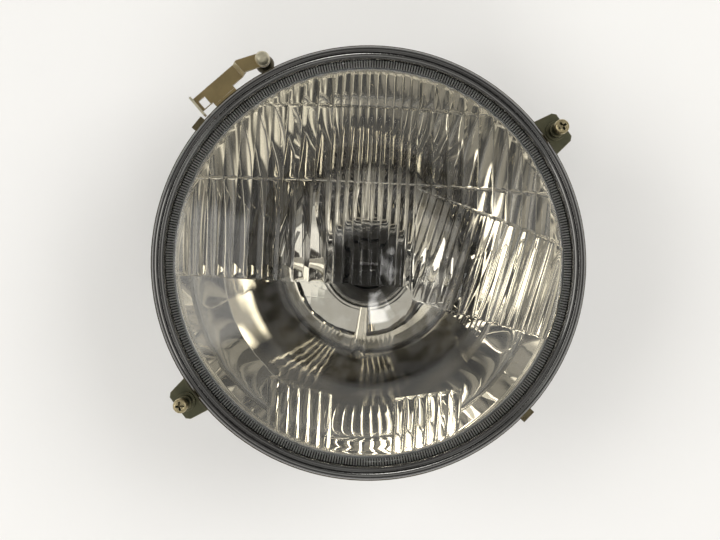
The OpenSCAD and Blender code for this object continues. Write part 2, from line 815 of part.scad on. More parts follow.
// Stud with a domed front head and a ball behind, on which the light tilts
module pivot_stud() {
  color("silver")
    at_angle(pivot_angle)
      translate([stud_v, -stud_u, 0]) {
        intersection() {
          translate([0, 0, tongue_top_z + stud_dome]) sphere(r = stud_head_r);
          translate([0, 0, tongue_top_z]) cylinder(r = 2 * stud_head_r, h = 2 * stud_head_r);
        }
        translate([0, 0, tongue_z - ball_drop])
          cylinder(r = stud_r, h = ball_drop + strip_t + stud_dome);
        translate([0, 0, tongue_z - stud_collar_h]) cylinder(r = stud_collar_r, h = stud_collar_h);
        translate([0, 0, tongue_z - ball_drop]) sphere(r = ball_r);
      }
}

// Ring on the reflector's neck, with three hooks that hold the bulb holder
module bulb_seat() {
  color("lightsteelblue") {
    translate([0, 0, neck_z])
      ring(seat_in_r + seat_t, bulb_hole_r + reflector_t + seat_gap, seat_t);
    translate([0, 0, seat_back_z]) ring(seat_in_r + seat_t, seat_in_r, seat_depth);
    three_round()
      translate([0, 0, hook_z])
        ring_sector(seat_in_r + seat_t / 2, seat_in_r - hook_in, hook_t, hook_angle);
  }
}

module earth_tab() {
  root_r = bulb_hole_r + reflector_t + earth_in;
  tip_r = seat_in_r + seat_t + earth_out;
  half = earth_w / 2;
  outline = [
    [root_r, -half],
    [tip_r - earth_corner, -half],
    [tip_r, -half + earth_corner],
    [tip_r, half - earth_corner],
    [tip_r - earth_corner, half],
    [root_r, half]
  ];
  color("gold")
    at_angle(270)
      translate([0, 0, neck_z + seat_t])
        difference() {
          linear_extrude(earth_t) polygon(outline);
          translate([tip_r - earth_hole_in, 0, -past])
            cylinder(r = earth_hole_r, h = earth_t + 2 * past, $fn = 32);
        }
}

module bulb_flange() {
  color("lightsteelblue")
    difference() {
      translate([0, 0, flange_z]) ring(flange_r, globe_neck_r + seat_gap, flange_t);
      three_round()
        translate([flange_r - notch_depth, -notch_w / 2, flange_z - past])
          cube([notch_depth + past, notch_w, flange_t + 2 * past]);
    }
}

module bulb_cap() {
  color("silver") {
    translate([0, 0, cap_z]) cylinder(r = cap_r, h = cap_t);
    translate([0, 0, cap_z]) ring(cap_r, cap_r - cap_t, cap_len);
    translate([0, 0, flange_z - cap_t]) ring(cap_r, globe_neck_r + seat_gap, cap_t);
  }
}

module bulb_insulator() {
  color("dimgray") translate([0, 0, insulator_z]) cylinder(r = cap_r - cap_t, h = insulator_t);
}

module bulb_contacts() {
  color("gold") three_round() translate([pad_at_r, 0, pads_z]) cylinder(r = pad_r, h = pad_t, $fn = 48);
}

// Clear glass: a round globe on a straight neck
module bulb_globe() {
  meet = sqrt(pow(globe_r, 2) - pow(globe_neck_r, 2));
  neck_end_z = globe_z - meet + past;
  inner_r = globe_r - globe_t;
  inner_neck_r = globe_neck_r - globe_t;
  color("lightcyan", 0.4)
    difference() {
      union() {
        translate([0, 0, globe_z]) sphere(r = globe_r);
        translate([0, 0, globe_foot_z]) cylinder(r = globe_neck_r, h = neck_end_z - globe_foot_z);
      }
      translate([0, 0, globe_z]) sphere(r = inner_r);
      translate([0, 0, globe_foot_z - past])
        cylinder(r = inner_neck_r, h = neck_end_z - globe_foot_z + past);
    }
}

module bulb_stem() {
  base_r = globe_neck_r - globe_t - seat_gap;
  color("lightcyan", 0.4) {
    translate([0, 0, globe_foot_z]) cylinder(r = base_r, h = stem_base_t);
    translate([0, 0, stem_base_z])
      cylinder(r1 = stem_foot_r, r2 = stem_top_r, h = stem_top_z - stem_base_z);
  }
}

// Wires: two for the main filament, two for the dipped one
module filament_leads() {
  dip_top_z = dip_z + dip_len + filament_r;
  color("silver") {
    for (side = [-1, 1])
      translate([side * lead_x, 0, stem_top_z])
        cylinder(r = lead_r, h = main_z - stem_top_z + filament_r, $fn = 24);
    translate([0, lead_y, stem_top_z]) cylinder(r = lead_r, h = dip_top_z - stem_top_z, $fn = 24);
    translate([0, lead_y, dip_top_z])
      rotate([90, 0, 0]) cylinder(r = cross_r, h = lead_y + cross_r, $fn = 24);
    translate([0, -lead_y, stem_top_z])
      cylinder(r = lead_r, h = dip_z - seat_gap - stem_top_z, $fn = 24);
  }
}

module main_filament() {
  color("darkgray")
    translate([-lead_x + lead_r + seat_gap, 0, main_z])
      rotate([0, 90, 0]) cylinder(r = filament_r, h = 2 * (lead_x - lead_r - seat_gap), $fn = 24);
}

module dip_filament() {
  color("darkgray")
    translate([0, 0, dip_z])
      cylinder(r = filament_r, h = dip_len + filament_r - lead_r - seat_gap, $fn = 24);
}

// Trough under the dipped filament, cut lower on one side to slant the edge of the beam
module dip_shield() {
  color("gray")
    translate([0, 0, main_z + filament_r + move_gap])
      difference() {
        ring(shield_r, shield_r - shield_t, shield_len);
        translate([-2 * shield_r, 0, -past]) cube([4 * shield_r, 2 * shield_r, shield_len + 2 * past]);
        rotate([0, 0, -wedge_angle])
          translate([0, -shield_low, -past])
            cube([2 * shield_r, 2 * shield_r, shield_len + 2 * past]);
      }
}

// Moulded holder that closes the back, presses the bulb home and locks with a part of a turn
module holder_body() {
  color("dimgray")
    difference() {
      union() {
        cylinder(r = holder_r, h = grip_top_z);
        translate([0, 0, grip_top_z - past]) cylinder(r = nose_r, h = nose_top_z - grip_top_z + past);
        three_round()
          translate([0, 0, lock_z]) ring_sector(lock_r, nose_r - past, lock_h, lock_angle);
      }
      translate([0, 0, floor_top_z]) cylinder(r = holder_in_r, h = nose_top_z);
      translate([0, 0, -past]) cylinder(r = holder_r - foot_w, h = foot_h + past);
      for (i = [0:scallops - 1])
        at_angle(i * 360 / scallops)
          translate([holder_r + scallop_r - scallop_depth, 0, foot_h])
            cylinder(r = scallop_r, h = grip_top_z - foot_h + past, $fn = 32);
      three_round()
        translate([terminal_at_r, 0, 0])
          cylinder(r = terminal_shank_r + seat_gap, h = 2 * floor_top_z, $fn = 48);
      translate([holder_r - foot_w - past, -cable_notch_w / 2, -past])
        cube([foot_w + 2 * past, cable_notch_w, foot_h + past]);
    }
}

// Leaf springs on the holder's floor that press on the bulb's pads
module holder_contacts() {
  tip_z = pads_z - move_gap;
  foot_end = terminal_at_r - contact_foot;
  foot_start = holder_in_r - seat_gap - contact_t;
  section = [
    [foot_start, floor_top_z],
    [foot_start, floor_top_z + contact_t],
    [foot_end, floor_top_z + contact_t],
    [pad_at_r + contact_tip, tip_z],
    [pad_at_r - contact_tip, tip_z],
    [pad_at_r - contact_tip - contact_turn, tip_z - contact_turn],
    [pad_at_r - contact_tip - contact_turn + contact_t, tip_z - contact_turn - contact_t / 2],
    [pad_at_r - contact_tip + contact_t / 2, tip_z - contact_t],
    [pad_at_r + contact_tip - contact_t / 2, tip_z - contact_t],
    [foot_end - contact_t / 2, floor_top_z]
  ];
  color("gold")
    three_round()
      difference() {
        rotate([90, 0, 0])
          translate([0, 0, -contact_w / 2])
            linear_extrude(contact_w) polygon(section);
        translate([terminal_at_r, 0, 0])
          cylinder(r = terminal_shank_r + seat_gap, h = 2 * floor_top_z, $fn = 48);
      }
}

module holder_terminals() {
  color("gold")
    three_round()
      translate([terminal_at_r, 0, 0])
        difference() {
          union() {
            translate([0, 0, foot_h - terminal_h]) cylinder(r = terminal_r, h = terminal_h, $fn = 48);
            translate([0, 0, foot_h - past])
              cylinder(r = terminal_shank_r, h = floor_t + contact_t + past, $fn = 48);
          }
          translate([-terminal_r - past, -terminal_slot_w / 2, foot_h - terminal_h - past])
            cube([2 * terminal_r + 2 * past, terminal_slot_w, terminal_slot_depth + past]);
        }
}

lens();
lens_seal();
trim_ring();
trim_clips();
reflector();
carrier_ring();
carrier_rivets();
lug(right_angle);  // right_lug
lug(left_angle);  // left_lug
lug_rivets();
bush(right_angle);  // right_bush
bush(left_angle);  // left_bush
adjusting_screw(right_angle);  // right_screw
adjusting_screw(left_angle);  // left_screw
stop_ring(right_angle);  // right_stop_ring
stop_ring(left_angle);  // left_stop_ring
adjuster_nut(right_angle);  // right_nut
adjuster_nut(left_angle);  // left_nut
pivot_bracket();
bracket_rivets();
pivot_stud();
bulb_seat();
earth_tab();
bulb_flange();
bulb_cap();
bulb_insulator();
bulb_contacts();
bulb_globe();
bulb_stem();
filament_leads();
main_filament();
dip_filament();
dip_shield();
holder_body();
holder_contacts();
holder_terminals();
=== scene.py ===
"""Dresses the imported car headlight: fluted glass, chrome rim, mirror, plated brackets and bulb."""

import logging
import math
from collections.abc import Callable, Iterator
from contextlib import contextmanager
from dataclasses import dataclass
from enum import Enum

import bpy
import numpy as np
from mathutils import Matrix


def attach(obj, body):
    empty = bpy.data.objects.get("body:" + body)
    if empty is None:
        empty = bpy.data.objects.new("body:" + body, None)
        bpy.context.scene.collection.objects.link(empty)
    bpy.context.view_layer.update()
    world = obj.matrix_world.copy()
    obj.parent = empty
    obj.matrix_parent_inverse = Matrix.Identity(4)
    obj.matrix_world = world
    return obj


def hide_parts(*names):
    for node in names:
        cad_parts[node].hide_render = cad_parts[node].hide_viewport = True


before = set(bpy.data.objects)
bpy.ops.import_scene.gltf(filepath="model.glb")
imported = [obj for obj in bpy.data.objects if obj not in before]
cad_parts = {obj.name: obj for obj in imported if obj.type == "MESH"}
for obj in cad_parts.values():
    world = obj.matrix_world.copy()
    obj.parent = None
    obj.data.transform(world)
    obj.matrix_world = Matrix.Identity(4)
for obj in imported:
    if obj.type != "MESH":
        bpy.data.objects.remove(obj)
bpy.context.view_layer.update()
LOG = logging.getLogger("headlight")
MM = 0.001
FINISH_MARK = "_finish"
SAME_SPOT = 2e-6
Point = tuple[float, float]
Spot = tuple[float, float, float]
Colour = tuple[float, float, float]
Socket = bpy.types.NodeSocket
Piece = bpy.types.Object
Row = tuple[str, str, float, "Finish", str]
Areas = tuple[tuple[float, ...], ...]
METAL_DUST = (0.45, 0.42, 0.38)
MOULDED_DUST = (0.42, 0.39, 0.35)
METAL_RELIEF = 0.0004
MOULDED_RELIEF = 0.0003


def rgba(colour: Colour) -> tuple[float, float, float, float]:
    """Returns the colour with full alpha."""
    return (*colour, 1.0)


class Graph:
    """Adds and joins the nodes of one shader tree."""

    def __init__(self, tree: bpy.types.NodeTree) -> None:
        """Keeps the tree that the nodes go into.

        Args:
            tree: the node tree of a material, a world or a node group.
        """
        self.tree = tree

    def add(self, kind: str, inputs: dict | None = None, **settings: object) -> bpy.types.Node:
        """Adds one node.

        Args:
            kind: the node's type, without its ShaderNode prefix.
            inputs: values or output sockets by the name or number of the node's input.
            settings: properties of the node itself.

        Returns:
            The new node.
        """
        node = self.tree.nodes.new("ShaderNode" + kind)
        for key, value in settings.items():
            setattr(node, key, value)
        for key, value in (inputs or {}).items():
            self.link(value, node.inputs[key])
        return node

    def link(self, value: object, target: Socket) -> None:
        """Joins an output to an input, or sets the input to a plain value.

        Args:
            value: the output socket or the plain value.
            target: the input.
        """
        if isinstance(value, Socket):
            self.tree.links.new(value, target)
        else:
            target.default_value = value

    def math(self, operation: str, first: object, second: object = 0.0) -> Socket:
        """Adds a Math node.

        Args:
            operation: the node's operation, such as MULTIPLY.
            first: value or socket.
            second: value or socket.

        Returns:
            The node's output.
        """
        return self.add("Math", {0: first, 1: second}, operation=operation).outputs[0]

    def times(self, first: object, second: object) -> Socket:
        """Multiplies two values or sockets."""
        return self.math("MULTIPLY", first, second)

    def plus(self, first: object, second: object) -> Socket:
        """Adds two values or sockets."""
        return self.math("ADD", first, second)

    def noise(self, place: Socket, scale: object, detail: float, roughness: float = 0.5) -> Socket:
        """Adds a noise texture.

        Args:
            place: the coordinates.
            scale: value or socket.
            detail: number of finer layers.
            roughness: strength of the finer layers.

        Returns:
            The noise's value.
        """
        inputs = {"Vector": place, "Scale": scale, "Detail": detail, "Roughness": roughness}
        return self.add("TexNoise", inputs).outputs["Fac"]

    def spread(
        self, value: object, low: float, high: float, to_low: float = 0.0, to_high: float = 1.0
    ) -> Socket:
        """Maps one range to another, clamped.

        Args:
            value: value or socket.
            low: value that becomes to_low.
            high: value that becomes to_high.
            to_low: result at low.
            to_high: result at high.

        Returns:
            The Map Range node's result.
        """
        inputs = {"Value": value, "From Min": low, "From Max": high, "To Min": to_low, "To Max": to_high}
        return self.add("MapRange", inputs).outputs["Result"]

    def blend(self, factor: object, first: object, second: object) -> Socket:
        """Mixes two colours.

        Args:
            factor: value or socket, 0 for the first colour.
            first: colour or socket.
            second: colour or socket.

        Returns:
            The mixed colour.
        """
        node = self.add("Mix", data_type="RGBA")
        for index, value in ((0, factor), (6, first), (7, second)):
            self.link(value, node.inputs[index])
        return node.outputs[2]

    def bump(self, shader: bpy.types.Node, height: Socket, strength: float, distance: float) -> None:
        """Gives a shader a relief.

        Args:
            shader: the shader node.
            height: the relief's height.
            strength: how strongly it shows.
            distance: depth of the relief in metres.
        """
        node = self.add("Bump", {"Height": height, "Strength": strength, "Distance": distance})
        self.link(node.outputs["Normal"], shader.inputs["Normal"])


@dataclass(frozen=True)
class EffectGroup:
    """A shader node group with named inputs and outputs."""

    name: str
    inputs: tuple[tuple[str, float], ...]
    outputs: tuple[str, ...]

    def begin(self) -> tuple[Graph, dict[str, Socket], dict[str, Socket]]:
        """Makes the empty group.

        Returns:
            The group's graph, the sockets of what it is given and those of what it puts out.
        """
        tree = bpy.data.node_groups.new(self.name, "ShaderNodeTree")
        for name, value in self.inputs:
            socket = tree.interface.new_socket(name, in_out="INPUT", socket_type="NodeSocketFloat")
            socket.default_value = value
        for name in self.outputs:
            tree.interface.new_socket(name, in_out="OUTPUT", socket_type="NodeSocketFloat")
        given, out = tree.nodes.new("NodeGroupInput"), tree.nodes.new("NodeGroupOutput")
        sources = {name: given.outputs[name] for name, _ in self.inputs}
        return Graph(tree), sources, {name: out.inputs[name] for name in self.outputs}


class Effects:
    """The shader effects that several finishes share, each built once."""

    def __init__(self) -> None:
        """Builds the groups."""
        self.scratches = self.build_scratches()
        self.cloudiness = self.build_cloudiness()
        self.settled_dust = self.build_settled_dust()
        self.rubbed_edges_and_highlights = self.build_rubbed_edges_and_highlights()
        self.pits = self.build_pits()
        self.pressed_waves = self.build_pressed_waves()

    @staticmethod
    def place(graph: Graph, group: bpy.types.NodeTree, **values: float) -> bpy.types.Node:
        """Places a group in a material.

        Args:
            graph: the material's graph.
            group: the group to place.
            values: the group's inputs, with _ for a space.

        Returns:
            The group node.
        """
        node = graph.tree.nodes.new("ShaderNodeGroup")
        node.node_tree = group
        for name, value in values.items():
            node.inputs[name.replace("_", " ")].default_value = value
        return node

    @staticmethod
    def mask(graph: Graph, group: bpy.types.NodeTree, **values: float) -> Socket:
        """Places a group that has one output and returns that output."""
        return Effects.place(graph, group, **values).outputs[0]

    def build_scratches(self) -> bpy.types.NodeTree:
        """Builds fine straight scratches in three directions.

        Returns:
            The group, with a Marks mask.
        """
        group = EffectGroup("fine_scratches", (("Scale", 60.0), ("Amount", 0.5)), ("Marks",))
        graph, given, out = group.begin()
        place = graph.add("TexCoord").outputs["Object"]
        total = None
        for turn, offset in ((0.4, 0.0), (1.7, 3.0), (2.6, 7.0)):
            moved = graph.add("Mapping", {
                "Vector": place, "Rotation": (0.3, turn, turn),
                "Scale": (1.0, 0.03, 0.2), "Location": (offset, 0.0, 0.0),
            })
            lines = graph.spread(graph.noise(moved.outputs[0], given["Scale"], 2.0), 0.66, 0.72)
            total = lines if total is None else graph.math("MAXIMUM", total, lines)
        kept = graph.times(total, graph.spread(graph.noise(place, 35.0, 3.0), 0.42, 0.62))
        graph.link(graph.times(kept, given["Amount"]), out["Marks"])
        return graph.tree

    def build_cloudiness(self) -> bpy.types.NodeTree:
        """Builds soft patches of tone with finer mottling in them.

        Returns:
            The group, with a Tone value and a fine Grain value.
        """
        group = EffectGroup("cloudiness", (("Scale", 20.0), ("Grain Scale", 300.0)), ("Tone", "Grain"))
        graph, given, out = group.begin()
        place = graph.add("TexCoord").outputs["Object"]
        large = graph.noise(place, given["Scale"], 5.0, 0.6)
        fine = graph.noise(place, given["Grain Scale"], 3.0)
        graph.link(graph.spread(large, 0.32, 0.68), out["Tone"])
        graph.link(graph.spread(fine, 0.3, 0.7), out["Grain"])
        return graph.tree

    def build_settled_dust(self) -> bpy.types.NodeTree:
        """Builds dust that lies on faces that look upwards.

        Returns:
            The group, with a Mask.
        """
        graph, given, out = EffectGroup("settled_dust", (("Amount", 0.3),), ("Mask",)).begin()
        place = graph.add("TexCoord").outputs["Object"]
        upward = graph.add("SeparateXYZ", {0: graph.add("NewGeometry").outputs["Normal"]}).outputs["Z"]
        specks = graph.spread(graph.noise(place, 900.0, 6.0, 0.75), 0.45, 0.7)
        drifts = graph.spread(graph.noise(place, 45.0, 4.0), 0.3, 0.7)
        lying = graph.times(graph.times(specks, drifts), graph.spread(upward, 0.2, 1.0))
        graph.link(graph.times(lying, given["Amount"]), out["Mask"])
        return graph.tree

    def build_rubbed_edges_and_highlights(self) -> bpy.types.NodeTree:
        """Builds a mask of edges where a coating has rubbed thin, which on the yellow zinc strip also serves
        as a painted highlight along the edges.

        Returns:
            The group, with a Mask.
        """
        group = EffectGroup("rubbed_edges_and_highlights", (("Width", 0.0004), ("Amount", 0.6)), ("Mask",))
        graph, given, out = group.begin()
        place = graph.add("TexCoord").outputs["Object"]
        rounded = graph.add("Bevel", {"Radius": given["Width"]}, samples=6).outputs["Normal"]
        true = graph.add("NewGeometry").outputs["Normal"]
        close = graph.add("VectorMath", {0: rounded, 1: true}, operation="DOT_PRODUCT").outputs["Value"]
        edge = graph.spread(close, 0.995, 0.86)
        worn = graph.times(edge, graph.spread(graph.noise(place, 420.0, 5.0, 0.7), 0.4, 0.56))
        graph.link(graph.times(worn, given["Amount"]), out["Mask"])
        return graph.tree

    def build_pressed_waves(self) -> bpy.types.NodeTree:
        """Builds the slow waves that pressing leaves in glass, and faint wiped smears.

        Returns:
            The group, with a Height value and a Smear mask.
        """
        graph, given, out = EffectGroup("pressed_waves", (("Scale", 40.0),), ("Height", "Smear")).begin()
        place = graph.add("TexCoord").outputs["Object"]
        slow = graph.noise(place, given["Scale"], 0.0)
        quick = graph.noise(place, graph.times(given["Scale"], 4.0), 0.0)
        height = graph.plus(slow, graph.times(quick, 0.1))
        graph.link(height, out["Height"])
        sweep = {"Vector": place, "Rotation": (0.0, 0.0, 0.7), "Scale": (1.0, 0.25, 1.0)}
        smears = graph.noise(graph.add("Mapping", sweep).outputs[0], 90.0, 6.0, 0.6)
        graph.link(graph.spread(smears, 0.55, 0.8), out["Smear"])
        return graph.tree

    def build_pits(self) -> bpy.types.NodeTree:
        """Builds small scattered pits.

        Returns:
            The group, with a Mask.
        """
        graph, given, out = EffectGroup("small_pits", (("Scale", 350.0), ("Amount", 0.5)), ("Mask",)).begin()
        place = graph.add("TexCoord").outputs["Object"]
        cells = graph.add("TexVoronoi", {"Vector": place, "Scale": given["Scale"]})
        spots = graph.spread(cells.outputs["Distance"], 0.2, 0.1)
        chosen = graph.add("SeparateColor", {0: cells.outputs["Color"]}).outputs["Red"]
        rare = graph.times(spots, graph.spread(chosen, 0.86, 0.9))
        grouped = graph.times(rare, graph.spread(graph.noise(place, 28.0, 2.0), 0.45, 0.6))
        graph.link(graph.times(grouped, given["Amount"]), out["Mask"])
        return graph.tree


EFFECTS = Effects()


def begin_material(name: str) -> tuple[bpy.types.Material, Graph, bpy.types.Node]:
    """Makes a material with a Principled shader.

    Args:
        name: the material's name.

    Returns:
        The material, its graph and its shader node.
    """
    material = bpy.data.materials.new(name + FINISH_MARK)
    material.use_nodes = True
    graph = Graph(material.node_tree)
    shader = material.node_tree.nodes["Principled BSDF"]
    return material, graph, shader


def lay_base(
    graph: Graph, finish: "MetalFinish | MouldedFinish", scale: float, amount: float, mark_dull: float
) -> tuple[Socket, Socket, Socket]:
    """Lays what metal and moulded finishes share: cloudy tone, fine grain and scratches.

    Args:
        graph: the material's graph.
        finish: the finish.
        scale: scale of the scratches.
        amount: strength of the scratches.
        mark_dull: how much rougher a scratch is.

    Returns:
        The tone, the roughness and the height.
    """
    scales = {"Scale": finish.cloud_scale, "Grain_Scale": finish.grain_scale}
    clouds = Effects.place(graph, EFFECTS.cloudiness, **scales)
    marks = Effects.mask(graph, EFFECTS.scratches, Scale=scale, Amount=amount)
    tone = graph.blend(clouds.outputs["Tone"], rgba(finish.colour), rgba(finish.second))
    dull = graph.spread(clouds.outputs["Grain"], 0.0, 1.0, finish.smooth, finish.rough)
    dull = graph.plus(dull, graph.times(marks, mark_dull))
    return tone, dull, graph.math("SUBTRACT", clouds.outputs["Grain"], marks)


@dataclass(frozen=True)
class MetalFinish:
    """Bare, plated or polished metal."""

    name: str
    colour: Colour
    second: Colour
    worn: Colour
    smooth: float
    rough: float
    cloud_scale: float = 60.0
    grain_scale: float = 900.0
    scratch_amount: float = 0.4
    edge_amount: float = 0.0
    pit_amount: float = 0.0
    dust: float = 0.1
    relief: float = 0.05

    def build(self) -> bpy.types.Material:
        """Builds the material.

        Returns:
            The new material.
        """
        material, graph, shader = begin_material(self.name)
        tone, dull, height = lay_base(graph, self, 400.0, self.scratch_amount, 0.25)
        dust = Effects.mask(graph, EFFECTS.settled_dust, Amount=self.dust)
        if self.edge_amount:
            edge = Effects.mask(graph, EFFECTS.rubbed_edges_and_highlights, Width=0.0005, Amount=self.edge_amount)
            tone = graph.blend(edge, tone, rgba(self.worn))
        if self.pit_amount:
            pits = Effects.mask(graph, EFFECTS.pits, Amount=self.pit_amount)
            tone = graph.blend(pits, tone, rgba(self.worn))
            dull = graph.plus(dull, graph.times(pits, 0.4))
            height = graph.math("SUBTRACT", height, pits)
        graph.link(graph.blend(dust, tone, rgba(METAL_DUST)), shader.inputs["Base Color"])
        graph.link(graph.plus(dull, graph.times(dust, 0.6)), shader.inputs["Roughness"])
        graph.link(graph.math("SUBTRACT", 1.0, dust), shader.inputs["Metallic"])
        graph.bump(shader, height, self.relief, METAL_RELIEF)
        return material


@dataclass(frozen=True)
class GlassFinish:
    """Clear pressed or blown glass."""

    name: str
    tint: Colour
    ior: float
    wave_scale: float
    wave_height: float
    haze: float

    def build(self) -> bpy.types.Material:
        """Builds the material.

        Returns:
            The new material.
        """
        material, graph, shader = begin_material(self.name)
        shader.inputs["Transmission Weight"].default_value = 1.0
        shader.inputs["IOR"].default_value = self.ior
        waves = Effects.place(graph, EFFECTS.pressed_waves, Scale=self.wave_scale)
        marks = Effects.mask(graph, EFFECTS.scratches, Scale=250.0, Amount=0.5)
        tone = graph.blend(waves.outputs["Smear"], (1.0, 1.0, 1.0, 1.0), rgba(self.tint))
        graph.link(tone, shader.inputs["Base Color"])
        smears = graph.times(waves.outputs["Smear"], self.haze)
        graph.link(graph.plus(smears, graph.times(marks, 0.03)), shader.inputs["Roughness"])
        graph.bump(shader, waves.outputs["Height"], 1.0, self.wave_height)
        return material


@dataclass(frozen=True)
class MouldedFinish:
    """Moulded plastic, rubber or paint."""

    name: str
    colour: Colour
    second: Colour
    worn: Colour
    smooth: float
    rough: float
    cloud_scale: float = 50.0
    grain_scale: float = 1200.0
    edge_amount: float = 0.3
    dust: float = 0.3
    relief: float = 0.15
    coat: float = 0.0
    inner_glow: float = 0.0

    def build(self) -> bpy.types.Material:
        """Builds the material.

        Returns:
            The new material.
        """
        material, graph, shader = begin_material(self.name)
        shader.inputs["Coat Weight"].default_value = self.coat
        shader.inputs["Subsurface Weight"].default_value = self.inner_glow
        shader.inputs["Subsurface Scale"].default_value = 0.002
        tone, dull, height = lay_base(graph, self, 300.0, 0.5, 0.2)
        edge = Effects.mask(graph, EFFECTS.rubbed_edges_and_highlights, Amount=self.edge_amount)
        dust = Effects.mask(graph, EFFECTS.settled_dust, Amount=self.dust)
        tone = graph.blend(edge, tone, rgba(self.worn))
        graph.link(graph.blend(dust, tone, rgba(MOULDED_DUST)), shader.inputs["Base Color"])
        graph.link(dull, shader.inputs["Roughness"])
        graph.bump(shader, height, self.relief, MOULDED_RELIEF)
        return material


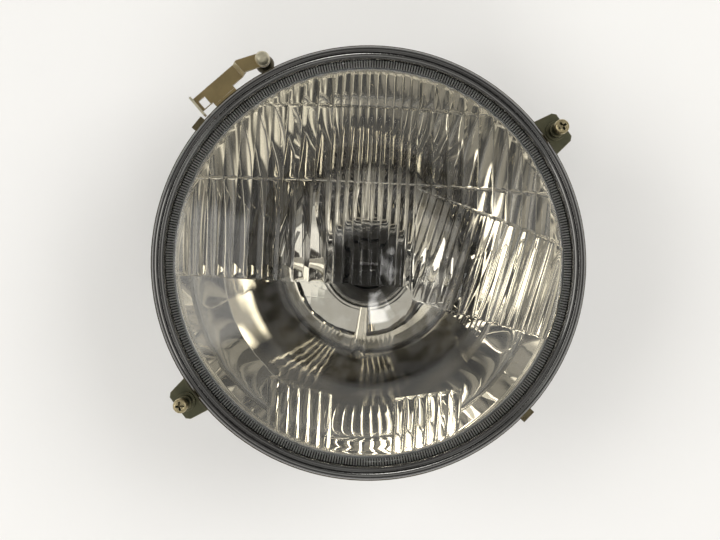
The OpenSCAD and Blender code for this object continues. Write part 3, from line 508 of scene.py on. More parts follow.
class Finish(Enum):
    """Every finish on the headlight."""

    LENS_GLASS = GlassFinish("lens_glass_clear", (0.94, 0.96, 0.94), 1.52, 45.0, 0.00006, 0.012)
    BULB_GLASS = GlassFinish("bulb_glass_clear", (0.98, 0.985, 0.985), 1.1, 90.0, 0.00001, 0.006)
    GROUND_GLASS = MouldedFinish(
        "ground_glass", (0.86, 0.86, 0.83), (0.72, 0.72, 0.69), (0.9, 0.9, 0.87), 0.4, 0.6,
        edge_amount=0.0, dust=0.0, relief=0.05,
    )
    CHROME = MetalFinish(
        "bright_chrome", (0.19, 0.19, 0.187), (0.155, 0.152, 0.148), (0.12, 0.08, 0.05), 0.04, 0.08,
        cloud_scale=25.0, scratch_amount=0.25, pit_amount=0.5, dust=0.08, relief=0.02,
    )
    MIRROR = MetalFinish(
        "silvered_mirror", (0.92, 0.88, 0.78), (0.87, 0.83, 0.72), (0.5, 0.48, 0.42), 0.0, 0.015,
        cloud_scale=18.0, grain_scale=150.0, scratch_amount=0.05, dust=0.0, relief=0.002,
    )
    BOWL_BACK = MetalFinish(
        "dull_galvanized_steel", (0.42, 0.43, 0.43), (0.30, 0.31, 0.32), (0.24, 0.13, 0.06), 0.36, 0.58,
        cloud_scale=70.0, scratch_amount=0.6, pit_amount=0.7, dust=0.25, relief=0.12,
    )
    # Its pale edges at full strength are partly edge wear and partly painted highlights along edges that
    # catch the light.
    YELLOW_ZINC = MetalFinish(
        "yellow_zinc", (0.46, 0.355, 0.18), (0.33, 0.26, 0.135), (0.88, 0.84, 0.74), 0.36, 0.5,
        cloud_scale=110.0, scratch_amount=0.12, edge_amount=1.0, dust=0.08, relief=0.04,
    )
    OLIVE_ZINC = MetalFinish(
        "olive_zinc", (0.20, 0.19, 0.12), (0.13, 0.135, 0.09), (0.55, 0.48, 0.32), 0.34, 0.5,
        cloud_scale=120.0, scratch_amount=0.15, edge_amount=1.0, dust=0.08, relief=0.05,
    )
    SCREW_ZINC = MetalFinish(
        "screw_zinc", (0.66, 0.56, 0.34), (0.44, 0.37, 0.21), (0.80, 0.74, 0.56), 0.22, 0.4,
        cloud_scale=200.0, edge_amount=0.6, dust=0.15, relief=0.06,
    )
    STUD_ZINC = MetalFinish(
        "stud_zinc", (0.86, 0.80, 0.62), (0.62, 0.58, 0.44), (0.80, 0.76, 0.62), 0.42, 0.6,
        cloud_scale=200.0, edge_amount=0.3, dust=0.12, relief=0.06,
    )
    CARRIER_ZINC = MetalFinish(
        "carrier_zinc", (0.10, 0.085, 0.055), (0.055, 0.048, 0.032), (0.42, 0.38, 0.3), 0.26, 0.42,
        cloud_scale=110.0, edge_amount=0.6, dust=0.08, relief=0.08,
    )
    PLAIN_ZINC = MetalFinish(
        "plain_zinc", (0.62, 0.62, 0.60), (0.48, 0.48, 0.47), (0.7, 0.69, 0.67), 0.2, 0.38,
        cloud_scale=150.0, edge_amount=0.5, dust=0.15, relief=0.06,
    )
    SPRING_STEEL = MetalFinish(
        "clip_spring_steel", (0.20, 0.17, 0.10), (0.12, 0.10, 0.06), (0.5, 0.46, 0.36), 0.26, 0.42,
        cloud_scale=160.0, edge_amount=0.8, dust=0.08, relief=0.08,
    )
    BRASS = MetalFinish(
        "contact_brass", (0.66, 0.48, 0.20), (0.50, 0.35, 0.15), (0.74, 0.60, 0.32), 0.22, 0.38,
        cloud_scale=160.0, edge_amount=0.6, dust=0.1, relief=0.06,
    )
    # Near black for the bulb's seat ring, flange and cap: painted shade that keeps the bulb's hole dark.
    FLANGE = MetalFinish(
        "bulb_flange_painted_shade", (0.075, 0.07, 0.06), (0.05, 0.047, 0.04), (0.16, 0.15, 0.12), 0.3, 0.34,
        cloud_scale=90.0, grain_scale=300.0, scratch_amount=0.1, edge_amount=0.4, dust=0.0, relief=0.008,
    )
    BRIGHT_WIRE = MetalFinish(
        "polished_shield", (0.80, 0.78, 0.73), (0.72, 0.70, 0.65), (0.62, 0.52, 0.34), 0.03, 0.08,
        cloud_scale=90.0, scratch_amount=0.05, dust=0.0, relief=0.002,
    )
    TUNGSTEN = MetalFinish(
        "tungsten_wire", (0.30, 0.29, 0.28), (0.20, 0.19, 0.19), (0.4, 0.38, 0.36), 0.3, 0.45,
        cloud_scale=300.0, dust=0.0, relief=0.05,
    )
    NYLON = MouldedFinish(
        "white_nylon", (0.80, 0.77, 0.68), (0.72, 0.68, 0.58), (0.86, 0.84, 0.78), 0.32, 0.46,
        edge_amount=0.2, dust=0.25, relief=0.08, inner_glow=0.15,
    )
    HOLDER = MouldedFinish(
        "black_moulding", (0.022, 0.021, 0.020), (0.045, 0.040, 0.036), (0.16, 0.14, 0.12), 0.28, 0.44,
        edge_amount=0.5, dust=0.35, relief=0.12, coat=0.1,
    )
    INSULATOR = MouldedFinish(
        "bulb_insulator_black", (0.03, 0.028, 0.03), (0.06, 0.05, 0.05), (0.12, 0.1, 0.1), 0.12, 0.25,
        edge_amount=0.2, dust=0.1, relief=0.05, coat=0.4,
    )
    RUBBER = MouldedFinish(
        "seal_rubber", (0.030, 0.030, 0.031), (0.055, 0.054, 0.052), (0.1, 0.1, 0.1), 0.55, 0.75,
        edge_amount=0.2, dust=0.3, relief=0.2,
    )
    FLOOR = MouldedFinish(
        "pale_floor", (0.80, 0.79, 0.77), (0.77, 0.76, 0.745), (0.8, 0.79, 0.77), 0.75, 0.9,
        cloud_scale=3.0, grain_scale=250.0, edge_amount=0.0, dust=0.0, relief=0.05,
    )

    def material(self) -> bpy.types.Material:
        """Returns the finish's material, built at its first use."""
        return bpy.data.materials.get(self.value.name + FINISH_MARK) or self.value.build()


class Bench:
    """The modelling steps that the sub-assemblies share."""

    @staticmethod
    def clear() -> None:
        """Deselects everything and leaves edit mode."""
        if bpy.context.object is not None and bpy.context.object.mode != "OBJECT":
            bpy.ops.object.mode_set(mode="OBJECT")
        bpy.ops.object.select_all(action="DESELECT")

    @staticmethod
    def choose(piece: Piece) -> None:
        """Makes one piece the only selected one and the active one.

        Args:
            piece: the piece.
        """
        Bench.clear()
        piece.select_set(True)
        bpy.context.view_layer.objects.active = piece

    @staticmethod
    @contextmanager
    def editing(piece: Piece) -> Iterator[None]:
        """Opens a piece in edit mode with all of it selected, and closes it again.

        Args:
            piece: the piece.

        Returns:
            A context manager, inside which the piece is in edit mode.
        """
        Bench.choose(piece)
        bpy.ops.object.mode_set(mode="EDIT")
        bpy.ops.mesh.select_all(action="SELECT")
        yield
        bpy.ops.object.mode_set(mode="OBJECT")

    @staticmethod
    def move(piece: Piece, x: float, y: float) -> None:
        """Moves a piece's corners sideways and leaves its origin in place.

        Args:
            piece: the piece.
            x: the way along x in millimetres.
            y: the way along y in millimetres.
        """
        for corner in piece.data.vertices:
            corner.co.x += x * MM
            corner.co.y += y * MM

    @staticmethod
    def paint(
        piece: Piece, first: "Finish", second: "Finish", chosen: Callable[[bpy.types.MeshPolygon], bool]
    ) -> None:
        """Gives a piece two finishes.

        Args:
            piece: the piece.
            first: the finish of most faces.
            second: the finish of the chosen faces.
            chosen: tells whether a face gets the second finish.
        """
        piece.data.materials.clear()
        for finish in (first, second):
            piece.data.materials.append(finish.material())
        for face in piece.data.polygons:
            face.material_index = int(chosen(face))

    @staticmethod
    def from_arrays(name: str, points: list, faces: list) -> Piece:
        """Makes a mesh piece from points in millimetres.

        Args:
            name: the piece's name.
            points: the corners, in millimetres.
            faces: the faces, as lists of corner numbers.

        Returns:
            The new object.
        """
        mesh = bpy.data.meshes.new(name)
        mesh.from_pydata([tuple(c * MM for c in p) for p in points], [], faces)
        mesh.update()
        piece = bpy.data.objects.new(name, mesh)
        bpy.context.scene.collection.objects.link(piece)
        return piece

    @staticmethod
    def spun(name: str, section: list[Point], steps: int) -> Piece:
        """Turns a closed section round the optical axis.

        Args:
            name: the piece's name.
            section: radius and height of each corner, in millimetres.
            steps: number of steps in the full turn.

        Returns:
            The new object.
        """
        Bench.clear()
        bpy.ops.mesh.primitive_circle_add(vertices=len(section), radius=1.0, fill_type="NOTHING")
        piece = bpy.context.object
        piece.name = piece.data.name = name
        for corner, (radius, height) in zip(piece.data.vertices, section):
            corner.co = (radius * MM, 0.0, height * MM)
        with Bench.editing(piece):
            bpy.ops.mesh.spin(steps=steps, angle=math.tau, center=(0.0, 0.0, 0.0), axis=(0.0, 0.0, 1.0))
            bpy.ops.mesh.select_all(action="SELECT")
            bpy.ops.mesh.remove_doubles(threshold=1e-6)
            bpy.ops.mesh.dissolve_degenerate(threshold=1e-7)
            bpy.ops.mesh.delete_loose(use_verts=True, use_edges=True, use_faces=False)
            bpy.ops.mesh.select_all(action="SELECT")
            bpy.ops.mesh.normals_make_consistent(inside=False)
        return piece

    @staticmethod
    def arc(mid: float, height: float, radius: float, turns: np.ndarray) -> list[Point]:
        """Lists the points of an arc in a section.

        Args:
            mid: the centre's distance from the axis.
            height: the centre's height.
            radius: the arc's radius.
            turns: the angle of each point, in radians.

        Returns:
            The points.
        """
        return [(mid + radius * math.cos(t), height + radius * math.sin(t)) for t in turns]

    @staticmethod
    def smooth(piece: Piece, degrees: float) -> None:
        """Shades a piece smooth where its faces meet at less than an angle."""
        Bench.choose(piece)
        bpy.ops.object.shade_smooth_by_angle(angle=math.radians(degrees))

    @staticmethod
    def rounded_copy(name: str, node: str, radius: float, degrees: float = 28.0) -> Piece:
        """Copies a CAD solid, merges its triangles and rounds its edges.

        Args:
            name: the piece's name.
            node: the CAD node.
            radius: width of the rounding in millimetres, 0 for none.
            degrees: angle from which an edge is rounded.

        Returns:
            The new object.
        """
        piece = bpy.data.objects.new(name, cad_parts[node].data.copy())
        piece.data.name = name
        bpy.context.scene.collection.objects.link(piece)
        with Bench.editing(piece):
            bpy.ops.mesh.remove_doubles(threshold=SAME_SPOT)
            bpy.ops.mesh.dissolve_limited(angle_limit=math.radians(0.5), delimit={"NORMAL"})
        if radius:
            bevel = piece.modifiers.new("rounding", "BEVEL")
            bevel.width, bevel.segments = radius * MM, 2
            bevel.limit_method, bevel.angle_limit = "ANGLE", math.radians(degrees)
            bevel.miter_outer = "MITER_ARC"
            bpy.ops.object.modifier_apply(modifier="rounding")
            with Bench.editing(piece):
                bpy.ops.mesh.remove_doubles(threshold=SAME_SPOT)
                bpy.ops.mesh.dissolve_degenerate(threshold=SAME_SPOT)
        bpy.ops.object.shade_smooth_by_angle(angle=math.radians(degrees + 12.0))
        weighted = piece.modifiers.new("even_normals", "WEIGHTED_NORMAL")
        weighted.keep_sharp = True
        bpy.ops.object.modifier_apply(modifier="even_normals")
        return piece

    @staticmethod
    def tube(name: str, path: np.ndarray, radius: float, sides: int) -> Piece:
        """Sweeps a round wire along a path.

        Args:
            name: the piece's name.
            path: points in millimetres, one a row.
            radius: radius of the wire in millimetres.
            sides: number of sides of the wire.

        Returns:
            The new object.
        """
        ahead = np.gradient(path, axis=0)
        ahead /= np.linalg.norm(ahead, axis=1)[:, None]
        side = np.cross(ahead[0], (0.3, 0.5, 0.81))
        points, faces = [], []
        for spot, forward in zip(path, ahead):
            side = side - forward * np.dot(side, forward)
            side /= np.linalg.norm(side)
            other = np.cross(forward, side)
            for turn in np.arange(sides) * math.tau / sides:
                points.append(spot + radius * (math.cos(turn) * side + math.sin(turn) * other))
        for ring in range(len(path) - 1):
            for k in range(sides):
                a, b = ring * sides + k, ring * sides + (k + 1) % sides
                faces.append((a, b, b + sides, a + sides))
        faces.append(tuple(range(sides))[::-1])
        faces.append(tuple(range(len(points) - sides, len(points))))
        piece = Bench.from_arrays(name, points, faces)
        Bench.smooth(piece, 50.0)
        return piece

    @staticmethod
    def seat(piece: Piece, finish: Finish, body: str, slot: str, *nodes: str) -> Piece:
        """Gives a piece its body and, unless it has two already, its finish.

        Args:
            piece: the piece.
            finish: its finish.
            body: the CAD body that it rides on.
            slot: the record's material slot; not used.
            nodes: the CAD nodes that it stands for.

        Returns:
            The same piece.
        """
        if len(piece.data.materials) < 2:
            piece.data.materials.clear()
            piece.data.materials.append(finish.material())
        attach(piece, body)
        if nodes:
            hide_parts(*nodes)
        LOG.info("%s: %d faces, %s", piece.name, len(piece.data.polygons), finish.value.name)
        return piece

    @staticmethod
    def dress(body: str, rows: tuple[Row, ...]) -> None:
        """Dresses CAD nodes as they are, with rounded edges.

        Args:
            body: the CAD body that the pieces ride on.
            rows: name, CAD node, width of the rounding, finish and material slot of each.
        """
        for name, node, radius, finish, slot in rows:
            Bench.seat(Bench.rounded_copy(name, node, radius), finish, body, slot, node)


@dataclass
class FlutedLens:
    """The domed glass with its fields of flutes and its knurled edge. Sizes in millimetres."""

    outer_r: float = 190.0
    inner_r: float = 186.0
    centre_z: float = -82.395
    field_r: float = 79.0
    foot_r: float = 81.25
    edge_r: float = 86.0
    foot_z: float = 84.93
    narrow_edge: float = 17.1
    wide_pitch: float = 6.2
    lean: float = 15.0
    lean_pitch: float = 6.1
    knurls: int = 470
    knurl_in_r: float = 79.9
    knurl_out_r: float = 83.3
    knurl_depth: float = 0.25
    groove_side: float = 0.4
    shoulder_r: float = 81.6
    shoulder_drop: float = 1.4
    narrow_depth: float = 0.1
    narrow_power: float = 4.0
    wide_depth: float = 0.2
    wide_power: float = 2.1
    lean_depth: float = 0.3
    patch_power: float = 3.2
    bar_y: float = -76.9
    bar_depth: float = 0.22
    bar_width: float = 0.45
    top_y: float = 62.5
    upper_y: float = 31.5
    corner_y: float = 30.2
    slant: float = 0.3155

    def dome(self, radius: float, sphere_r: float) -> float:
        """Returns the height of a dome at a distance from the axis."""
        return self.centre_z + math.sqrt(sphere_r**2 - radius**2)

    def front(self, radius: float) -> float:
        """Returns the height of the outer face, which rounds down to its edge past the shoulder."""
        part = max(0.0, (radius - self.shoulder_r) / (self.edge_r - self.shoulder_r))
        return self.dome(radius, self.outer_r) - self.shoulder_drop * part**1.5

    @staticmethod
    def rib(u: float, power: float) -> float:
        """Returns the height across a flute, 0 to 1, with a flatter middle for a higher power."""
        return 1.0 - abs(2.0 * u - 1.0) ** power

    def columns(self) -> list[tuple[float, float]]:
        """Lists the grid's columns.

        Returns:
            For each column its x in the upper fields and its place across its flute, 0 to 1.
        """
        edge, pitch = self.narrow_edge, self.wide_pitch
        coarse = (0.0, 0.03, 0.08, 0.15, 0.25, 0.4, 0.6, 0.75, 0.85, 0.92, 0.97)
        middle = (0.0, 0.04, 0.1, 0.18, 0.32, 0.5, 0.68, 0.82, 0.9, 0.96)
        fine = (0.0, 0.05, 0.125, 0.2, 0.275, 0.35, 0.425, 0.5, 0.575, 0.65, 0.725, 0.8, 0.875, 0.95)
        rows = [(-edge - pitch * (10 - k - u), u) for k in range(10) for u in coarse]
        rows += [(-edge + edge / 5.0 * (k + u), u) for k in range(10) for u in middle]
        rows += [(edge + pitch * (k + u), u) for k in range(10) for u in fine]
        return rows + [(edge + 10 * pitch, 0.0)]

    def key_rows(self, x: float) -> list[float]:
        """Lists the heights, at x, of the lines that divide the lens into fields.

        Args:
            x: distance to the right of the middle.

        Returns:
            The y of each line, from the top down.
        """
        right_end = self.corner_y - 62.0 * self.slant
        slanted = float(np.interp(x, (0.0, self.narrow_edge, 79.1), (27.0, self.corner_y, right_end)))
        lower = float(np.interp(x, (15.4, 18.7, 79.1), (-8.8, -14.0, -29.1)))
        patches = float(np.interp(x, (-38.0, -12.1, 12.9, 39.8), (-47.2, -53.1, -53.6, -48.5)))
        return [79.6, self.top_y, self.upper_y, slanted, lower, patches, -79.6]

    @staticmethod
    def steps(length: float, pitch: float, ends: tuple[float, ...]) -> list[float]:
        """Divides the span between two lines, finer near both.

        Args:
            length: the span's usual length.
            pitch: distance between rows away from the lines.
            ends: distances from each line at which a row lies.

        Returns:
            The rows' places along the span, from 0 up to but not 1.
        """
        places = [0.0] + [e / length for e in ends]
        inner = np.arange(ends[-1] + pitch, length - ends[-1] - pitch / 2, pitch) / length
        return places + [float(v) for v in inner] + [1.0 - e / length for e in reversed(ends)]

    @staticmethod
    def rounded_end(distance: float, width: float) -> float:
        """Returns how high a flute stands near its end, 0 to 1, rounded over a width."""
        t = min(max(distance / width, 0.0), 1.0)
        return math.sqrt(1.0 - (1.0 - t) ** 2)

    def flute(self, x: float, y: float, x_up: float, u: float, band: int, keys: list[float]) -> float:
        """Gives the height of the flutes at one point.

        Args:
            x: the point's x.
            y: the point's y.
            x_up: the x of the point's column in the upper fields.
            u: the column's place across its flute.
            band: number of the span between two key rows, from the top.
            keys: the heights of the key rows at x.

        Returns:
            How far the inner face stands in from the smooth dome.
        """
        middle = abs(x_up) < self.narrow_edge - 1e-6
        right = x_up >= self.narrow_edge - 1e-6
        above, below = keys[band] - y, y - keys[band + 1]
        rib = self.rib(u, self.narrow_power if middle else self.wide_power)
        rib *= self.narrow_depth if middle else self.wide_depth
        if band == 0:
            return rib * self.rounded_end(below, 0.5)
        if band in (2, 3) and not right:
            return rib * self.rounded_end(keys[2] - y, 0.5) * self.rounded_end(y - keys[4], 2.0)
        if band in (1, 2):
            return rib * self.rounded_end(above, 0.5) * self.rounded_end(below, 0.5)
        if band == 3:
            lean = math.radians(self.lean)
            across = (x - self.narrow_edge) * math.cos(lean) - (y - self.corner_y) * math.sin(lean)
            ends = self.rounded_end(above, 0.6) * self.rounded_end(below, 0.7)
            ends *= self.rounded_end(x - self.narrow_edge, 0.5)
            return math.sin(math.pi * across / self.lean_pitch) ** 2 * self.lean_depth * ends
        patch = self.narrow_edge - 1e-6 <= abs(x_up) <= self.narrow_edge + 6 * self.wide_pitch + 1e-6
        if band == 5 and patch:
            rim = self.field_r - math.hypot(x, y)
            ends = self.rounded_end(above, 1.4) * self.rounded_end(rim, 1.2)
            return self.rib(u, self.patch_power) * self.wide_depth * ends
        if band == 5 and middle:
            return self.bar_depth * math.exp(-(((y - self.bar_y) / self.bar_width) ** 2))
        return 0.0

    def field(self) -> tuple[list, list, list[int]]:
        """Builds the ribbed inner face inside the field's circle.

        Returns:
            Its points, its faces and the corner numbers along its edge.
        """
        columns = self.columns()
        ends = (0.15, 0.5, 1.2)
        spans = [
            self.steps(17.0, 3.0, ends), self.steps(31.0, 3.0, ends),
            [0.0, 0.03, 0.09, 0.2, 0.35, 0.5, 0.65, 0.8, 0.91, 0.97],
            self.steps(42.0, 1.1, (0.15, 0.35, 0.7, 1.1, 1.6)), self.steps(36.0, 3.0, ends),
            self.steps(30.0, 2.0, (0.2, 0.6, 1.4, 2.0, 2.6, 3.2)),
        ]
        rows = [(band, s) for band, places in enumerate(spans) for s in places] + [(5, 1.0)]
        upper_x = (-79.1, -54.3, -17.1, 17.1, 54.3, 79.1)
        lower_x = (-79.1, -38.0, -12.1, 12.9, 39.8, 79.1)
        grid = []
        for band, s in rows:
            line = []
            for x_up, u in columns:
                x_low = float(np.interp(x_up, upper_x, lower_x))
                shift = 0.0 if band < 4 else 1.0 if band > 4 else s * s * (3.0 - 2.0 * s)
                x = x_up + (x_low - x_up) * shift
                keys = self.key_rows(x)
                y = keys[band] + (keys[band + 1] - keys[band]) * s
                drop = self.flute(x, y, x_up, u, band, keys) if math.hypot(x, y) < self.field_r + 2 else 0.0
                z = self.dome(min(math.hypot(x, y), self.field_r + 5), self.inner_r) - drop
                line.append((x, y, z))
            grid.append(line)
        return self.clip(grid)

    def clip(self, grid: list) -> tuple[list, list, list[int]]:
        """Cuts a grid of points along the field's circle.

        Args:
            grid: rows of points.

        Returns:
            The points kept, the faces and the corner numbers along the cut.
        """
        height, width = len(grid), len(grid[0])
        points, faces, known, cuts, beyond = [], [], {}, {}, {}

        def corner(i: int, j: int) -> int:
            """Finds or adds a grid point inside the circle.

            Args:
                i: the point's row.
                j: its place in the row.

            Returns:
                The point's number.
            """
            if (i, j) not in known:
                known[i, j] = len(points)
                points.append(grid[i][j])
            return known[i, j]

        def cut(inside: tuple[int, int], outside: tuple[int, int]) -> int:
            """Finds or adds the point where an edge of the grid crosses the circle.

            Args:
                inside: row and place of the end inside the circle.
                outside: row and place of the other end.

            Returns:
                The point's number.
            """
            if (inside, outside) not in cuts:
                a, b = np.array(grid[inside[0]][inside[1]]), np.array(grid[outside[0]][outside[1]])
                ra, rb = np.hypot(*a[:2]), np.hypot(*b[:2])
                p = a + (b - a) * (self.field_r - ra) / (rb - ra)
                p[:2] *= self.field_r / np.hypot(*p[:2])
                cuts[inside, outside] = len(points)
                points.append(tuple(p))
            return cuts[inside, outside]

        within = [[math.hypot(p[0], p[1]) < self.field_r - 0.02 for p in line] for line in grid]
        for i in range(height - 1):
            for j in range(width - 1):
                around = [(i, j), (i, j + 1), (i + 1, j + 1), (i + 1, j)]
                if not any(within[a][b] for a, b in around):
                    continue
                face, leaving, arriving = [], set(), set()
                for k in range(4):
                    here, following = around[k], around[(k + 1) % 4]
                    if within[here[0]][here[1]]:
                        face.append(corner(*here))
                        if not within[following[0]][following[1]]:
                            face.append(cut(here, following))
                            leaving.add(face[-1])
                    elif within[following[0]][following[1]]:
                        face.append(cut(following, here))
                        arriving.add(face[-1])
                faces.append(face)
                sides = zip(face, face[1:] + face[:1])
                beyond.update((a, b) for a, b in sides if a in leaving and b in arriving)
        return points, faces, self.round_edge(points, beyond)

    def round_edge(self, points: list, beyond: dict[int, int]) -> list[int]:
        """Chains the cut corners into one loop and spaces them in order round the circle.

        Args:
            points: all points, whose cut ones are moved along the circle.
            beyond: the corner that follows each cut corner.

        Returns:
            The loop's corner numbers, by rising angle.
        """
        edge = [next(iter(beyond))]
        while beyond[edge[-1]] != edge[0]:
            edge.append(beyond[edge[-1]])
        edge.reverse()
        turns = [math.atan2(points[n][1], points[n][0]) for n in edge]
        first = turns.index(min(turns))
        edge = edge[first:] + edge[:first]
        for n, turn in zip(edge, sorted(turns)):
            points[n] = (self.field_r * math.cos(turn), self.field_r * math.sin(turn), points[n][2])
        return edge

    @staticmethod
    def zip_loops(points: list, faces: list, first: list[int], second: list[int]) -> None:
        """Joins two loops round the axis, each sorted by angle, with triangles.

        Args:
            points: all points.
            faces: the faces, to which the new ones are added.
            first: corner numbers of the first loop.
            second: corner numbers of the second loop.
        """
        turn_a, turn_b = (
            [math.atan2(points[n][1], points[n][0]) for n in numbers] for numbers in (first, second)
        )
        turn_a += [turn_a[0] + math.tau, math.inf]
        turn_b += [turn_b[0] + math.tau, math.inf]
        i = j = 0
        while i < len(first) or j < len(second):
            a, b = first[i % len(first)], second[j % len(second)]
            if turn_a[i + 1] <= turn_b[j + 1]:
                i += 1
                faces.append((a, first[i % len(first)], b))
            else:
                j += 1
                faces.append((a, second[j % len(second)], b))

    def loop(self, points: list, count: int, radius: float, height: float, bite: float = 0.0) -> list[int]:
        """Adds a ring of points, sorted by angle.

        Args:
            points: all points.
            count: number of points in the ring.
            radius: the ring's radius.
            height: the ring's height.
            bite: how far one point in four stands up into the glass.

        Returns:
            The new corner numbers.
        """
        start = len(points)
        for k in range(count):
            turn = -math.pi + (k + 0.5) * math.tau / count
            lift = bite if k % 4 == 2 else 0.0
            points.append((radius * math.cos(turn), radius * math.sin(turn), height + lift))
        return list(range(start, len(points)))

    def on_groove(self, face: bpy.types.MeshPolygon) -> bool:
        """Tells whether a face is the side of a knurl's groove, which is ground.

        Args:
            face: a face of the glass.

        Returns:
            True for the side of a groove.
        """
        radius = math.hypot(face.center.x, face.center.y) / MM
        across = abs(face.normal.x * face.center.y - face.normal.y * face.center.x) / MM / radius
        return across > self.groove_side and self.knurl_in_r < radius < self.knurl_out_r

    def build(self) -> Piece:
        """Builds the glass.

        Returns:
            The new piece.
        """
        points, faces, edge = self.field()
        count = 4 * self.knurls
        rings = [
            (79.4, self.dome(79.4, self.inner_r), 0.0), (79.7, self.dome(79.7, self.inner_r), 0.0),
            (self.knurl_in_r, self.dome(self.knurl_in_r, self.inner_r), self.knurl_depth),
            (self.foot_r, self.foot_z, self.knurl_depth), (self.knurl_out_r, self.foot_z, self.knurl_depth),
            (self.knurl_out_r + 0.3, self.foot_z, 0.0),
        ]
        last = edge
        for radius, height, bite in rings:
            ring = self.loop(points, count, radius, height, bite)
            self.zip_loops(points, faces, last, ring)
            last = ring
        outside = [(self.edge_r - 0.15, self.foot_z), (self.edge_r, self.foot_z + 0.15)]
        outside += [(r, self.front(r)) for r in np.linspace(self.edge_r, self.shoulder_r, 12)]
        outside += [(r, self.front(r)) for r in np.linspace(80.0, 2.0, 27)]
        for radius, height in outside:
            ring = self.loop(points, 256, radius, height)
            self.zip_loops(points, faces, last, ring)
            last = ring
        points.append((0.0, 0.0, self.dome(0.0, self.outer_r)))
        faces += [(last[k], last[(k + 1) % len(last)], len(points) - 1) for k in range(len(last))]
        piece = Bench.from_arrays("lens_glass", points, faces)
        with Bench.editing(piece):
            bpy.ops.mesh.remove_doubles(threshold=1e-7)
            bpy.ops.mesh.normals_make_consistent(inside=False)
        Bench.paint(piece, Finish.LENS_GLASS, Finish.GROUND_GLASS, self.on_groove)
        Bench.smooth(piece, 36.0)
        return Bench.seat(piece, Finish.LENS_GLASS, "light_unit", "clear_lens", "lens")


@dataclass
class RimAndBowl:
    """The chrome ring, the mirror bowl, the carrier ring and the seal. Sizes in millimetres."""

    focal: float = 27.0
    vertex_z: float = 25.109
    hole_r: float = 20.5
    mouth_r: float = 79.5
    sheet: float = 1.0
    flange_r: float = 88.0
    neck_z: float = 24.0
    rim_r: float = 89.0
    bead_r: float = 2.9
    bead_z: float = 88.83
    rim_sheet: float = 0.7
    foot_z: float = 82.63

    def bowl_z(self, radius: float) -> float:
        """Returns the height of the mirror at a radius."""
        return self.vertex_z + radius**2 / (4.0 * self.focal)

    def behind(self, radius: float) -> Point:
        """Finds the point of the bowl's back that lies square behind the mirror.

        Args:
            radius: the mirror point's distance from the axis.

        Returns:
            The back point's radius and height.
        """
        slope = radius / (2.0 * self.focal)
        length = math.hypot(1.0, slope)
        return radius + self.sheet * slope / length, self.bowl_z(radius) - self.sheet / length

    def on_back(self, face: bpy.types.MeshPolygon) -> bool:
        """Tells whether a face of the bowl lies outside the mirror.

        Args:
            face: a face of the bowl.

        Returns:
            True for a face of dull steel.
        """
        x, y, z = (c / MM for c in face.center)
        radius = math.hypot(x, y)
        inside = radius < self.mouth_r + 0.6 and z > self.bowl_z(radius) - 0.3
        return not (inside and z > self.neck_z + 3.0)

    def build_bowl(self) -> Piece:
        """Builds the bowl, mirror inside and dull steel outside.

        Returns:
            The new piece.
        """
        radii = np.linspace(self.hole_r, self.mouth_r - 0.6, 60)
        mouth_z = self.bowl_z(self.mouth_r)
        section = [(self.hole_r, self.neck_z), (self.hole_r, self.bowl_z(self.hole_r) - 0.4)]
        section += [(self.hole_r + 0.15, self.bowl_z(self.hole_r))]
        section += [(float(r), self.bowl_z(float(r))) for r in radii[1:]]
        section += [(self.mouth_r, mouth_z - 0.18), (self.mouth_r + 0.5, mouth_z)]
        section += [(self.flange_r - 0.1, mouth_z), (self.flange_r, mouth_z - 0.1)]
        section += [(self.flange_r, self.foot_z + 0.1), (self.flange_r - 0.1, self.foot_z)]
        corner = self.behind(self.mouth_r - 0.8)
        section += [(corner[0] + 0.9, self.foot_z), (corner[0] + 0.2, self.foot_z - 0.3)]
        section += [self.behind(float(r)) for r in np.linspace(self.mouth_r - 1.6, self.hole_r + 1.6, 44)]
        section += [(self.hole_r + self.sheet + 0.3, self.behind(self.hole_r + 1.0)[1] - 0.4)]
        section += [(self.hole_r + self.sheet, self.neck_z + 3.0), (self.hole_r + self.sheet, self.neck_z)]
        piece = Bench.spun("reflector_bowl", section, 168)
        Bench.paint(piece, Finish.MIRROR, Finish.BOWL_BACK, self.on_back)
        Bench.smooth(piece, 35.0)
        return Bench.seat(piece, Finish.MIRROR, "light_unit", "reflector_silver", "reflector")

    def build_rim(self) -> Piece:
        """Builds the rolled chrome ring.

        Returns:
            The new piece.
        """
        mid = self.rim_r - self.bead_r
        inner = self.bead_r - self.rim_sheet
        outside = Bench.arc(mid, self.bead_z, self.bead_r, np.linspace(0.0, math.pi, 29))
        hem = [(mid - self.bead_r + 0.1, self.bead_z - 0.25), (mid - self.bead_r + 0.45, self.bead_z - 0.3)]
        inside = Bench.arc(mid, self.bead_z, inner, np.linspace(math.pi, 0.0, 19))
        lower_in = self.rim_r - self.rim_sheet
        skirt = [(lower_in, self.foot_z + 0.1), (lower_in + 0.15, self.foot_z)]
        skirt += [(self.rim_r + out, self.foot_z + up) for out, up in (
            (0.5, 0.0), (0.6, 0.2), (0.6, 0.5), (0.45, 0.68), (0.2, 0.74), (0.05, 0.95), (0.0, 1.3),
        )]
        piece = Bench.spun("chrome_rim", outside + hem + inside + skirt, 256)
        Bench.smooth(piece, 50.0)
        return Bench.seat(piece, Finish.CHROME, "light_unit", "bright_chrome", "trim_ring")

    def build(self) -> None:
        """Builds the rim and the bowl, and dresses what lies between them."""
        self.build_bowl()
        self.build_rim()
        Bench.dress("light_unit", (
            ("seal_band", "lens_seal", 0.0, Finish.RUBBER, "seal_rubber"),
            ("carrier_plate", "carrier_ring", 0.12, Finish.CARRIER_ZINC, "yellow_zinc"),
            ("rim_clips", "trim_clips", 0.12, Finish.SPRING_STEEL, "clip_steel"),
            ("plate_rivets", "carrier_rivets", 0.2, Finish.PLAIN_ZINC, "plain_zinc"),
        ))


